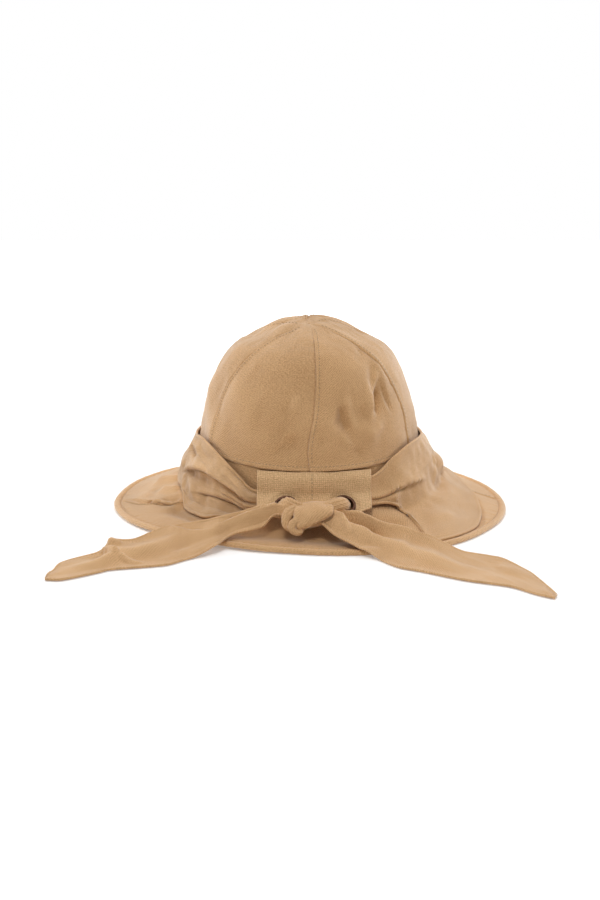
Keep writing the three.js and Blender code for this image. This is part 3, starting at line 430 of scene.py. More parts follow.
# Tie ends: each row is one section, from its edge nearer the back to its edge nearer the hat.
TAIL_COLUMNS = "near_x near_y near_z far_x far_y far_z ridge_at ridge ridge_width dip_at dip dip_width"
TAIL = Sizes(
    cloth=1.8, clear=0.6, sag=1.2, past_rim=16, past_scarf=3, over_scarf=0.4, rest=0.6,
    floor=0.0001, wear=0.3,
)
LEFT_TAIL = table(
    TAIL_COLUMNS,
    (-12, -128, 21, -12, -120, 29, 0.6, 1.5, 0.25, 0.2, 0.5, 0.2),
    (-25, -123, 22.5, -25, -116, 29.5, 0.7, 1.5, 0.22, 0.3, 1, 0.2),
    (-36, -126, 13.5, -35, -118, 28.5, 0.6, 1, 0.2, 0.3, 1.5, 0.2),
    (-56, -131, 9.4, -57, -116, 22.5, 0.55, 1, 0.2, 0.3, 1, 0.2),
    (-69, -150, 6, -73, -118, 18.5, 0.6, 1, 0.2, 0.35, 1, 0.2),
    (-88, -167, 0, -94, -120, 15, 0.62, 1.2, 0.15, 0.4, 1, 0.2),
    (-102, -181, 0, -107, -126, 14, 0.6, 2, 0.14, 0.4, 1.5, 0.2),
    (-125, -188, 0, -131, -146, 10, 0.5, 2.5, 0.16, 0.3, 0.5, 0.2),
    (-139, -192, 0, -143, -151, 11, 0.5, 3.5, 0.2, 0.25, 0.5, 0.2),
    (-147, -199, 0, -151, -161, 5, 0.45, 4, 0.2, 0.2, 0.5, 0.2),
    (-171, -216, 0, -176, -186, 2.5, 0.5, 1.5, 0.25, 0.2, 0, 0.2),
    (-180, -215, 0, -181, -211, 1, 0.5, 0, 0.25, 0.2, 0, 0.2),
)
RIGHT_TAIL = table(
    TAIL_COLUMNS,
    (8, -132, 18, 14, -119, 27, 0.55, 1, 0.2, 0.8, 0.5, 0.2),
    (19, -141, 10.5, 30, -120, 25, 0.5, 4, 0.2, 0.78, 2.5, 0.16),
    (32, -153, 7, 41, -123, 22.5, 0.5, 4, 0.18, 0.75, 3.5, 0.16),
    (47, -166, 0.5, 53, -126, 17.5, 0.5, 3.5, 0.16, 0.72, 3, 0.16),
    (61, -186, 0, 72, -136, 15, 0.5, 2.5, 0.16, 0.7, 2, 0.16),
    (76, -196, 0, 85, -143, 13, 0.5, 1.5, 0.16, 0.7, 1.5, 0.16),
    (105, -217, 0, 111, -161, 5, 0.5, 1, 0.16, 0.7, 0.5, 0.2),
    (120, -224, 0, 128, -167, 3.5, 0.5, 0.8, 0.2, 0.7, 0, 0.2),
    (132, -230, 0, 140, -181, 3.5, 0.5, 1.0, 0.2, 0.7, 0, 0.2),
    (147, -247, 0, 154, -214, 1.5, 0.5, 1.0, 0.25, 0.7, 0, 0.2),
    (157, -255, 0, 160, -248, 1, 0.5, 0, 0.25, 0.7, 0, 0.2),
)

# Along is in millimetres from the knot; across runs from the near edge to the far one.
LEFT_TAIL_CREASES = table(
    CREASE,
    (123, 0.12, 141, 0.44, 2.4, 2.4, 0, 0.2), (141, 0.44, 166, 0.97, 3.2, 2.4, 0, 0.15),
    (138, 0.8, 156, 0.99, 2.6, 3, 0, 0.2), (148, 0.45, 160, 0.7, -1.6, 3),
    (78, 0.64, 109, 1, 1.6, 6, 0, 0.2, "pleat"), (14, 0.84, 66, 0.72, 2.4, 5, 0, 0.2, "pleat"),
    (30, 0.5, 80, 0.42, -1.2, 5), (88, 0.2, 118, 0.55, 1.2, 6),
)
RIGHT_TAIL_CREASES = table(
    CREASE,
    (3, 0.86, 33, 0.25, 3.6, 3.2, 0, 0.1), (4, 0.86, 23, 0.55, 1.8, 1.8, 3, 0.2),
    (14, 0.68, 66, 0.78, -4.2, 5, 0, 0.25), (12, 0.96, 96, 0.96, 1.4, 2.2),
    (70, 0.5, 120, 0.35, 1.2, 6), (110, 0.6, 160, 0.5, -1.2, 6),
)


# ---- meshes ----


def grid_faces(rows, columns, ring=False, tube=False):
    """Faces between points: a ring's last row joins its first, and so does a tube's last column."""
    i = np.arange(rows if ring else rows - 1)[:, None]
    j = np.arange(columns if tube else columns - 1)[None, :]
    here, there, after = i * columns, (i + 1) % rows * columns, (j + 1) % columns
    return np.stack([here + j, there + j, there + after, here + after], -1).reshape(-1, 4)


def shell_faces(rows, columns, ring):
    """Faces of a closed wall between an outer and an inner grid of points."""
    inner = rows * columns
    outer_faces = grid_faces(rows, columns, ring)
    here = np.arange(rows if ring else rows - 1)
    there = (here + 1) % rows * columns
    here = here * columns
    last = columns - 1
    rims = [
        np.stack([here + inner, there + inner, there, here], -1),
        np.stack([here + last, there + last, there + last + inner, here + last + inner], -1),
    ]
    if not ring:
        j = np.arange(columns - 1)
        end = (rows - 1) * columns
        rims.append(np.stack([j, j + 1, j + 1 + inner, j + inner], -1))
        rims.append(np.stack([end + j + 1, end + j, end + j + inner, end + j + 1 + inner], -1))
    return np.vstack([outer_faces, (outer_faces + inner)[:, ::-1], *rims])


def turned_out(points, faces):
    """The faces of a closed body, all turned so that they point out."""
    a, b, c, d = (points[faces[:, k]] for k in range(4))
    volume = np.einsum("ij,ij->i", a, np.cross(b, c) + np.cross(c, d)).sum()
    return faces if volume > 0 else faces[:, ::-1]


def distances(grid, axis):
    """Distance along the rows or columns of a grid of points, from its first one."""
    lengths = np.linalg.norm(np.diff(grid, axis=axis), axis=-1)
    return np.concatenate([np.zeros_like(lengths.take([0], axis)), np.cumsum(lengths, axis)], axis)


def normals(grid, ring=False):
    padded = np.concatenate([grid[-1:], grid, grid[:1]]) if ring else grid
    normal = np.cross(np.gradient(padded, axis=1), np.gradient(padded, axis=0))
    normal /= np.maximum(np.linalg.norm(normal, axis=-1, keepdims=True), 1e-9)
    return normal[1:-1] if ring else normal


def displaced(grid, height, ring=False):
    return grid + normals(grid, ring) * height[..., None]


def rounded(distance, radius):
    """Share of its full thickness that a rounded edge has at a distance from its end."""
    return np.sqrt(np.maximum(1 - (1 - np.clip(distance / radius, 0, 1)) ** 2, 0.02))


# Distances from an end of a piece of cloth, which follow its rounded edge and its hem.
EDGE_ROWS = (0, 0.12, 0.4, 0.9, 1.5, 2.1, 2.7, 3.4)


def close_rows(length, spacing, edge=EDGE_ROWS):
    """Distances along a length: close ones near its two ends, and even ones between them."""
    edge = np.asarray(edge)
    middle = np.linspace(edge[-1], length - edge[-1], max(int(length / spacing), 2))
    return np.r_[edge[:-1], middle, length - edge[:-1][::-1]]


def close_shares(ends, start, count):
    """Shares of a width: close ones at its two ends, and even ones from start to its mirror."""
    ends = np.array(ends)
    return np.r_[ends, np.linspace(start, 1 - start, count), 1 - ends[::-1]]


def link(name, data):
    """A new object in the scene."""
    made = bpy.data.objects.new(name, data)
    bpy.context.scene.collection.objects.link(made)
    return made


def add_object(name, mesh, material):
    mesh.polygons.foreach_set("use_smooth", np.ones(len(mesh.polygons), bool))
    mesh.materials.append(material)
    piece = link(name, mesh)
    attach(piece, "root")
    return piece


def make_piece(name, points, faces, uv, slot, painted_light_and_tone):
    """An object from points in millimetres about the crown's axis, with a map of its cloth."""
    mesh = bpy.data.meshes.new(name)
    mesh.from_pydata((points * MM + CROWN_AXIS).tolist(), [], [list(face) for face in faces])
    corners = np.zeros(len(mesh.loops), int)
    mesh.loops.foreach_get("vertex_index", corners)
    mesh.uv_layers.new(name=CLOTH_MAP).uv.foreach_set("vector", (uv[corners] * MM).ravel())
    # Stores the painted shade in creases, painted highlight on ridges and painted sheen, with the
    # lighter hems.
    mesh.attributes.new(PAINTED_LIGHT_ATTRIBUTE, "FLOAT", "POINT").data.foreach_set("value", painted_light_and_tone.ravel())
    return add_object(name, mesh, MATERIALS[slot])


def wall_piece(name, outer, inner, uv, slot, ring=False, painted_light_and_tone=None):
    """A closed wall between an outer and an inner grid of points."""
    points = np.vstack([outer.reshape(-1, 3), inner.reshape(-1, 3)])
    faces = turned_out(points, shell_faces(*outer.shape[:2], ring))
    uv = np.vstack([uv.reshape(-1, 2)] * 2)
    painted_light_and_tone = np.zeros(outer.shape[:2]) if painted_light_and_tone is None else painted_light_and_tone
    return make_piece(name, points, faces, uv, slot, np.tile(painted_light_and_tone.ravel(), 2))


def sheet_piece(name, grid, cloth, slot, ring=False, face=0.5, edges="all", painted_light_and_tone=None, sign=1):
    """A sheet of cloth with rounded edges: face is the share of its thickness outside the grid."""
    across, along = distances(grid, 1), distances(grid, 0)
    full = np.ones(grid.shape[:2])
    if edges in ("all", "across", "far"):
        full = full * rounded(across[:, -1:] - across, cloth / 2)
    if edges in ("all", "across"):
        full = full * rounded(across, cloth / 2)
    if edges == "all":
        full = full * rounded(np.minimum(along, along[-1:] - along), cloth / 2)
    normal = normals(grid, ring) * sign
    centre = grid + normal * cloth * (face - 0.5)
    offset = normal * (cloth / 2) * full[..., None]
    uv = np.stack([along, across], -1)
    return wall_piece(name, centre + offset, centre - offset, uv, slot, ring, painted_light_and_tone)


def rope_piece(name, rows, folds, seed):
    """A gathered length of cloth: rounded sections along a curve, with folds that run along it."""
    curve = spline([list(row.values()) for row in rows])
    length = curve[1][-1]
    at = close_rows(length, ROPE.spacing)
    place = on_curve(curve, at / length)
    centre, half_width, half_height = place[:, :3], place[:, 3:4], place[:, 4:5]
    forward = np.gradient(centre, axis=0)
    forward /= np.linalg.norm(forward, axis=1)[:, None]
    side = np.cross(forward, ROPE.facing)
    side /= np.linalg.norm(side, axis=1)[:, None]
    rise = np.cross(side, forward)
    sides, square = ROPE.sides, ROPE.squareness
    angle = np.arange(sides) / sides * 2 * np.pi
    reach = 1 / (np.abs(np.cos(angle)) ** square + np.abs(np.sin(angle)) ** square) ** (1 / square)
    random = np.random.default_rng(seed)
    fold = 0
    for lobe in ROPE.lobes:
        phase = random.uniform(0, 2 * np.pi)
        twist = random.uniform(-ROPE.twist, ROPE.twist)
        wave = np.sin(lobe * angle[None] + phase + twist * at[:, None])
        fold = fold + np.abs(wave) * random.uniform(0.5, 1)
    fold = (fold - fold.mean()) * folds
    end = rounded(np.minimum(at, length - at), ROPE.end)[:, None]
    wide = (half_width * reach + fold) * end
    high = (half_height * reach + fold) * end
    grid = centre[:, None] + side[:, None] * (wide * np.cos(angle))[..., None]
    grid = grid + rise[:, None] * (high * np.sin(angle))[..., None]
    points = grid.reshape(-1, 3)
    uv = np.stack([distances(grid, 1), np.repeat(at[:, None], sides, 1)], -1).reshape(-1, 2)
    faces = turned_out(points, grid_faces(len(at), sides, tube=True)).tolist()
    ends = [list(range(sides)), list(range(len(points) - sides, len(points)))]
    # The folds' heights also tint the cloth: painted shade in their dips and painted highlight on
    # their ridges.
    piece = make_piece(name, points, faces + ends, uv, "scarf_linen", fold)
    fix_normals(piece)


def fix_normals(piece):
    """Turns all faces of a closed piece out."""
    body = bmesh.new()
    body.from_mesh(piece.data)
    bmesh.ops.recalc_face_normals(body, faces=body.faces)
    body.to_mesh(piece.data)
    body.free()


def stitch_bodies(path, outward, start):
    """Points and faces of a row of stitches along a path on the cloth."""
    along = np.r_[0, np.cumsum(np.linalg.norm(np.diff(path, axis=0), axis=1))]
    spacing = STITCH.length + STITCH.gap
    sides, rings = 6, 5
    swell = np.sin(np.radians([8, 50, 90, 130, 172]))[:, None]
    turn = np.arange(sides) / sides * 2 * np.pi
    points, faces = [], []
    for k in range(int(along[-1] // spacing)):
        at = (k + 0.5) * spacing + STITCH.length * np.linspace(-0.5, 0.5, rings)
        centre = np.stack([np.interp(at, along, path[:, i]) for i in range(3)], -1)
        up = np.array([np.interp(at[2], along, outward[:, i]) for i in range(3)])
        forward = centre[-1] - centre[0]
        forward = forward / np.linalg.norm(forward)
        side = np.cross(forward, up)
        side /= np.linalg.norm(side)
        centre = centre + up * (STITCH.radius * (STITCH.arch * swell - STITCH.sunk))
        ring = side * np.cos(turn)[:, None] + up * np.sin(turn)[:, None]
        thick = STITCH.radius * (STITCH.thin_end + (1 - STITCH.thin_end) * swell)
        points.append((centre[:, None] + ring[None] * thick[..., None]).reshape(-1, 3))
        first = start + k * rings * sides
        faces += (grid_faces(rings, sides, tube=True) + first).tolist()
        last = first + (rings - 1) * sides
        faces += [list(range(first, first + sides))[::-1], list(range(last, last + sides))]
    return np.vstack(points), faces


def stitches(name, rows):
    """One piece of several rows of stitches, each a path and the directions out of the cloth."""
    points, faces = [], []
    start = 0
    for path, outward in rows:
        row_points, row_faces = stitch_bodies(path, outward, start)
        points.append(row_points)
        faces += row_faces
        start += len(row_points)
    mesh = bpy.data.meshes.new(name)
    mesh.from_pydata((np.vstack(points) * MM + CROWN_AXIS).tolist(), [], faces)
    fix_normals(add_object(name, mesh, MATERIALS["thread"]))


# ---- crown ----

outline = spline([(row["half_width"], row["height"]) for row in CROWN_OUTLINE])
OUTLINE_LENGTH = outline[1][-1]
seam_drift = smooth(SEAM_DRIFT, "up", "shift")


def seam_height(bearing):
    return CROWN.seam_height - CROWN.seam_tilt * np.cos(np.radians(bearing))


def panel_place(bearing, share):
    """Bearing on the dome, and share of its outline, of a place on a panel."""
    lean = CROWN.tip_behind * step(share, CROWN.lean_from, CROWN.lean_to)
    x = (1 - share) * OUTLINE_LENGTH * np.sin(np.radians(bearing))
    y = (1 - share) * OUTLINE_LENGTH * np.cos(np.radians(bearing)) + lean
    return np.degrees(np.arctan2(x, y)), np.clip(1 - np.hypot(x, y) / OUTLINE_LENGTH, 0, 1)


def dome(bearing, up):
    place = on_curve(outline, up)
    radius, height = place[..., 0], place[..., 1]
    tilt = (seam_height(bearing) - CROWN.seam_height) * (CROWN.apex - height)
    height = height + tilt / (CROWN.apex - CROWN.seam_height)
    return polar(bearing, radius * ellipse(bearing, 1, CROWN.length_ratio), height)


def crown_dents(bearing, up):
    depth = 0
    for dent in CROWN_DENTS:
        turn = wrapped(bearing - dent["bearing"]) / dent["half_angle"]
        climb = (up - dent["up"]) / dent["half_up"]
        depth = depth + dent["depth"] * np.exp(-turn**2 - climb**2)
    return depth


def drifted(nominal, share):
    """Bearings with the centre-back seam's drift to the side."""
    near = np.clip(1 - np.abs(wrapped(nominal)) / 45, 0, 1)
    reach = np.maximum((1 - share) * OUTLINE_LENGTH * 0.62, 6)
    return nominal + np.degrees(seam_drift(share) / reach) * near**2 * (3 - 2 * near)


def seam_profile(distance, allowance):
    """Height of the cloth beside a seam, with its allowance stitched down on one side."""
    pinch = -SEAM.pinch * hump(distance, SEAM.pinch_width)
    raised = SEAM.raised * step(distance, *SEAM.rises)
    raised = raised * (1 - step(distance, *SEAM.ends))
    groove = -SEAM.groove * hump(distance - STITCH.seam_distance, SEAM.groove_width)
    return pinch + allowance * (raised + groove)


def puckers(along, distance, seed):
    """Small ripples that the sewing draws across a seam."""
    random = np.random.default_rng(seed)
    ripple = 0
    for length in PUCKERS.lengths:
        ripple = ripple + np.sin(2 * np.pi * along / length + random.uniform(0, 2 * np.pi))
    return PUCKERS.height * ripple * np.exp(-distance / PUCKERS.reach)


def panel_columns(start, share):
    """Distances across a panel from its left seam, close together at both seams, and its width."""
    sample = start + np.linspace(0, PANEL.angle, 25)[:, None]
    width = distances(dome(*panel_place(drifted(sample, share), share)), 0)[-1]
    left = np.array(PANEL_COLUMNS)[:, None] * np.minimum(1, width / PANEL.narrow)
    even = np.linspace(0, 1, PANEL.columns)[1:-1, None]
    middle = left[-1] + (width - 2 * left[-1]) * even
    return np.vstack([left, middle, (width - left)[::-1]]), width


def edge_profile(grid, turned, above):
    """Height of the crown's folded and stitched lower edge, which the tab's top lifts."""
    x, y = grid[..., 0], grid[..., 1]
    raised = PANEL.fold * (1 - step(above, *PANEL.fold_ends))
    groove = PANEL.groove * hump(above - STITCH.edge_distance, SEAM.groove_width)
    drawn = puckers(turned * CREASE_SCALE.crown[0], above, 40) * step(180 - np.abs(turned), 0, 4)
    under_tab = step(x, TAB.left - 3, TAB.left + 1)
    under_tab = under_tab * (1 - step(x, TAB.right - 1, TAB.right + 3))
    under_tab = PANEL.under_tab * under_tab * (y < 0) * (1 - step(above, 0, 6))
    return raised - groove + drawn + under_tab


def crown_folds(turned, up):
    """Creases and long waves of the crown's cloth, and its short waves."""
    across, down = turned * CREASE_SCALE.crown[0], up * CREASE_SCALE.crown[1]
    clear = step(180 - np.abs(turned), 0, 10)
    fold = relief(CROWN_CREASES, turned, up, CREASE_SCALE.crown)
    fold = fold + unevenness(across, down, *PANEL.wave, 7)
    fine = unevenness(across, down, *PANEL.fine_wave, 8)
    return fold * clear, fine * clear


def crown_panel(name, start, seed):
    """One panel, and the rows of stitches beside its left seam and above its lower edge."""
    even = np.linspace(5, OUTLINE_LENGTH - PANEL.tip_gap, PANEL.rows)
    rows = np.r_[PANEL_ROWS, even][::-1]
    share = (rows / OUTLINE_LENGTH)[None, :]
    across, width = panel_columns(start, share)
    nominal = start + PANEL.angle * across / width
    bearing, up = panel_place(drifted(nominal, share), share)
    turned = wrapped(bearing)
    grid = dome(bearing, up)
    near = np.minimum(across, width - across)
    wide = step(width, *PANEL.widens)
    allowance = (across < width / 2) * wide
    height = CROWN.puff * np.sin(np.pi * across / width) * np.sin(np.pi * share)
    height = height - crown_dents(bearing, up)
    seam = seam_profile(near, allowance) + puckers(rows[None, :], near, 17 + seed)
    above = rows[None, :] * np.ones_like(across)
    height = height + seam * wide + edge_profile(grid, turned, above)
    fold, fine = crown_folds(turned, up)
    grid = displaced(grid, height + (fold + fine) * step(above, 1, 12))
    # Its folds also tint the cloth: painted shade in their dips and painted highlight on their ridges;
    # the left half of each panel is a little lighter.
    panel = sheet_piece(
        f"crown_panel_{name}_cloth", grid, CROWN.wall + 0.2, "linen", face=0, edges="far",
        painted_light_and_tone=np.clip(fold * 0.4 + allowance * 0.2, -1, 1),
    )
    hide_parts(f"crown_panel_{name}")
    outward = normals(grid)
    column_at = nearest(np.array(PANEL_COLUMNS), STITCH.seam_distance)
    row_at = nearest(rows, STITCH.edge_distance)
    inner = slice(6, -7)
    seam_row = (grid[column_at, inner], outward[column_at, inner])
    return seam_row, (grid[:, row_at], outward[:, row_at])


# ---- band and brim ----

rim_radius = smooth(RIM, "bearing", "radius")
rim_lift = smooth(RIM, "bearing", "lift")
brim_fall = smooth(BRIM_FALL, "along", "fall")
brim_drift = smooth(BRIM_SEAM_DRIFT, "along", "shift")


def root_radius(bearing):
    return ellipse(bearing, BAND.root_half_width, BAND.root_half_length)


def root_height(bearing):
    return BAND.root_height - BAND.root_tilt * np.cos(np.radians(bearing))


def body_radius(bearing, height):
    """Outer face of the band, and of the crown above it, at a height."""
    share = (height - root_height(bearing)) / (seam_height(bearing) - root_height(bearing))
    over = np.clip(2 * (share - 1), 0, SCARF.over_edge)
    edge = CROWN_OUTLINE[0]["half_width"] * ellipse(bearing, 1, CROWN.length_ratio)
    root = root_radius(bearing)
    return root + (edge - root) * np.minimum(share, 1) + over


def brim_reach(bearing):
    """Radius at the brim's root and where its hem begins."""
    return root_radius(bearing) - BAND.tuck - BAND.wall, rim_radius(bearing) - BRIM.hem_width


def brim_wall(bearing, along):
    """Height of the brim's upper face before its wrinkles."""
    root, hem = root_height(bearing), BRIM.wall_at_hem + rim_lift(bearing)
    return root + (hem - root) * brim_fall(along)


scarf_line = {
    name: smooth(SCARF_WRAP, "bearing", name)
    for name in ("top", "belly", "lower", "lift", "stand_off", "sink")
}


def sunk(bearing, radius):
    """How far the brim gives way under the scarf."""
    cover = np.clip(bearing % 360, SCARF_WRAP[0]["bearing"], SCARF_WRAP[-1]["bearing"])
    root, lower = root_radius(bearing), scarf_line["lower"](cover)
    under = 1 - step(radius, lower - SCARF.sink_before, lower + SCARF.sink_after)
    inside = step(radius, root + SCARF.sink_from, root + SCARF.sink_to)
    return scarf_line["sink"](cover) * under * inside


def band_piece():
    """The upright band between the brim and the crown, whose top stands behind the crown's edge."""
    bearing = np.linspace(0, 360, BAND.columns, endpoint=False)[:, None]
    low, high = root_height(bearing) + BAND.clear, seam_height(bearing)
    top = len(BAND_TOP)
    rise = np.r_[np.linspace(1, 0.86, top), np.linspace(0.82, 0, 18)]
    height = low + (high - low) * rise
    height[:, :top] = height[:, :top] + np.array(BAND_TOP)
    above = height - high
    inset = BAND.tuck + BAND.inset * step(above, *BAND.inset_over)
    radius = body_radius(bearing, np.minimum(height, high)) - inset
    radius = radius - BAND.lean * np.maximum(above, 0)
    grid = polar(bearing, radius, height)
    swell = unevenness(bearing * 1.65, height, *BAND.wave, 21)
    grid = displaced(grid, swell * step(high - height, 0, 3), ring=True)
    piece = sheet_piece("band_cloth", grid, BAND.wall, "linen", ring=True, face=0, edges="across")
    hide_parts("band")


def brim_relief(bearing, along, radius):
    """The brim's wrinkles, and its whole relief with its waves and its sag under the scarf."""
    wrinkle = relief(BRIM_CREASES, bearing, along, CREASE_SCALE.brim)
    soft = rumpled(bearing * BRIM.per_degree, radius, "brim", 31)
    return wrinkle, (wrinkle + soft) * np.sin(along * np.pi) - sunk(bearing, radius)


def brim_height(bearing, radius):
    """Height of the brim's upper face at a distance from the crown's axis."""
    turned = wrapped(bearing)
    root, hem = brim_reach(turned)
    along = np.clip((radius - root) / (hem - root), 0, 1)
    on_wall = brim_wall(turned, along) + brim_relief(turned, along, radius)[1]
    return np.where(radius > hem + 1, np.maximum(on_wall, BRIM.bead + rim_lift(turned)), on_wall)


def brim_bearing(nominal, along):
    """Bearings with the left seam's drift toward the back."""
    near = np.clip(1 - np.abs(wrapped(nominal + 90)) / 60, 0, 1)
    return nominal + brim_drift(along) * near**2 * (3 - 2 * near)


def brim_half(name, start):
    """Half of the brim with its turned hem, and the rows of stitches on its hem and its seam."""
    columns = close_rows(180, BRIM.column, BRIM_COLUMNS)
    along = np.r_[np.linspace(0, 0.9, 44), np.linspace(0.92, 1, 7)][None, :-1]
    turned = wrapped(brim_bearing((start + columns)[:, None], along))
    root, hem = brim_reach(turned)
    radius = root + (hem - root) * along
    wrinkle, height = brim_relief(turned, along, radius)
    pull = puckers(turned * 2.6, hem - radius, 33) * BRIM.pull
    grid = polar(turned, radius, brim_wall(turned, along) + height + pull * along)
    from_seam = np.minimum(columns, 180 - columns)[:, None] * np.radians(1) * radius
    allowance = (columns < 90)[:, None] * BRIM.seam_allowance
    at_left = hump(wrapped(start + columns + 90), BRIM.left_seam_angle)[:, None]
    seam = seam_profile(from_seam, allowance) * (BRIM.seam + BRIM.left_seam * at_left)
    grid = displaced(grid, seam)
    under = grid - normals(grid) * BRIM.wall
    at_rim = wrapped(start + columns)[:, None]
    rim = rim_radius(at_rim)
    lift = rim_lift(at_rim) + BRIM.ripple * np.sin(at_rim * 1.9) * np.sin(at_rim * 0.7)
    at_ends = [BRIM.seam_dip * hump(away, 0.5) for away in (columns, 180 - columns)]
    dip = sum(at_ends)[:, None]
    tops = [polar(at_rim, rim - r["inset"], r["height"] + lift - dip) for r in HEM_TOP]
    unders = [polar(at_rim, rim - r["inset"], r["height"] + lift) for r in HEM_UNDER]
    outer = np.concatenate([grid, *tops], 1)
    inner = np.concatenate([under, *unders], 1)
    turns = (start + columns)[:, None] * BRIM.per_degree * np.ones_like(outer[..., 0])
    uv = np.stack([turns, distances(outer, 1)], -1)
    # The brim's tint: painted shade in its wrinkles' dips and painted highlight on their ridges, a
    # lighter hem, and a painted sheen that lightens and pales the brim's two sides from 95 mm beside
    # the axis outward.
    at_hem = BRIM.wear * np.ones((len(columns), len(HEM_TOP)))
    painted_sheen_on_sides = step(np.abs(outer[..., 0]), *BRIM.faded_over)
    painted_light_and_tone = np.concatenate([wrinkle * 0.3, at_hem], 1) + BRIM.fading * painted_sheen_on_sides
    painted_light_and_tone = np.clip(painted_light_and_tone, -1, 1)
    piece = wall_piece(f"brim_{name}_cloth", outer, inner, uv, "linen", painted_light_and_tone=painted_light_and_tone)
    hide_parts(f"brim_{name}")
    outward = normals(outer)
    groove = grid.shape[1] + 1
    seam_at = nearest(from_seam[:80, 20], STITCH.seam_distance)
    hem_row = (outer[3:-3, groove], outward[3:-3, groove])
    return hem_row, (outer[seam_at, 2:groove - 2], outward[seam_at, 2:groove - 2])


# ---- scarf ----


def scarf_section(bearing, share):
    """Radius and height down the scarf's middle surface at a bearing, and its width."""
    line = {name: float(read(bearing)) for name, read in scarf_line.items()}
    clear = SCARF.clear + SCARF.cloth / 2
    start = (body_radius(bearing, line["top"]) + clear + line["stand_off"], line["top"])
    corner = (
        root_radius(bearing) + clear + SCARF.corner_room + line["belly"] + line["stand_off"],
        root_height(bearing) + clear + line["belly"] / 2,
    )
    landing = min(root_radius(bearing) + SCARF.corner, line["lower"])
    land = (landing, brim_height(bearing, landing) + clear + line["lift"])
    t = np.linspace(0, 1, 5)[:, None]
    start, corner, land = np.array(start), np.array(corner), np.array(land)
    path = (1 - t) ** 2 * start + 2 * t * (1 - t) * corner + t**2 * land
    spread = line["lower"] - landing
    if spread > 1:
        radius = landing + spread * np.arange(1, 9) / 8
        height = brim_height(bearing, radius) + clear + line["lift"]
        path = np.vstack([path, np.stack([radius, height], -1)])
    curve = spline(path, 12)
    return on_curve(curve, share), curve[1][-1]


def hem_profile(distance):
    """Height of a folded and stitched edge at a distance from it."""
    raised = HEM.raised * (1 - step(distance, *HEM.ends))
    return raised - HEM.groove * hump(distance - HEM.stitched_at, HEM.groove_width)


def scarf_grid(bearing, share):
    """The scarf's middle surface, with the flap's edge swung to the side, and its widths."""
    sections, widths = [], []
    for turn in bearing:
        place, width = scarf_section(turn, share)
        swing = FLAP.skew * step(place[:, 0], *FLAP.skew_over)
        swing = swing * (1 - step(turn, *FLAP.stays_over))
        swing = swing * step(turn, *FLAP.swings_over)
        sections.append(polar(turn - swing, place[:, 0], place[:, 1]))
        widths.append(width)
    return np.array(sections), np.array(widths)[:, None]


def scarf_piece():
    """The scarf round the crown's foot, from the knot's right side to its left."""
    last = SCARF_WRAP[-1]["bearing"]
    ends = [row["start"] for row in SCARF_ROWS[1:]] + [last]
    runs = [np.arange(row["start"], end, row["spacing"]) for row, end in zip(SCARF_ROWS, ends)]
    bearing = np.r_[(*runs, last)]
    share = close_shares((0, 0.002, 0.007, 0.015), 0.026, 64)
    grid, width = scarf_grid(bearing, share)
    bearing = bearing[:, None]
    across = share[None, :] * np.ones_like(width)
    down = across * width
    folds = relief(SCARF_CREASES, bearing, down, CREASE_SCALE.scarf)
    edge = np.minimum(across, 1 - across) * width
    radius = np.hypot(grid[..., 0], grid[..., 1])
    from_flap = (bearing - FLAP.bearing) * np.radians(1) * radius
    beside = step(radius, FLAP.radius - 4, FLAP.radius + 6) * (from_flap > -2)
    edge = edge + beside * (np.minimum(edge, np.maximum(from_flap, 0)) - edge)
    soft = rumpled(bearing * CREASE_SCALE.scarf[0], down, "scarf", 41)
    laid = step(radius, *SCARF.laid_over)
    height = (folds + soft * (1 - SCARF.laid * laid)) * (0.1 + 0.9 * step(edge, 0, 7))
    height = height + hem_profile(edge)
    height = np.maximum(height, -0.2 - 6 * step(edge, 0, 10) * step(across, 0, 1))
    # Its creases also tint the scarf: painted shade in their dips and painted highlight on their
    # ridges; its hems are lighter.
    piece = sheet_piece(
        "scarf_wrap_cloth", displaced(grid, height), SCARF.cloth, "scarf_linen",
        painted_light_and_tone=np.clip(folds * 0.3 + SCARF.wear * (edge < HEM.ends[0]), -1, 1),
    )
    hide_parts("scarf_wrap")


def ground_height(x, y):
    """Lowest height at which cloth can lie: on the brim, the scarf or the floor."""
    bearing = np.degrees(np.arctan2(x, -y))
    radius, rim = np.hypot(x, y), rim_radius(bearing)
    cover = bearing % 360
    in_scarf = radius < scarf_line["lower"](cover) + TAIL.past_scarf
    in_scarf = (cover > SCARF_WRAP[0]["bearing"]) & in_scarf
    thick = SCARF.cloth + SCARF.clear + TAIL.over_scarf
    height = brim_height(bearing, radius) + in_scarf * thick
    return height * (1 - step(radius, rim + 1, rim + TAIL.past_rim))


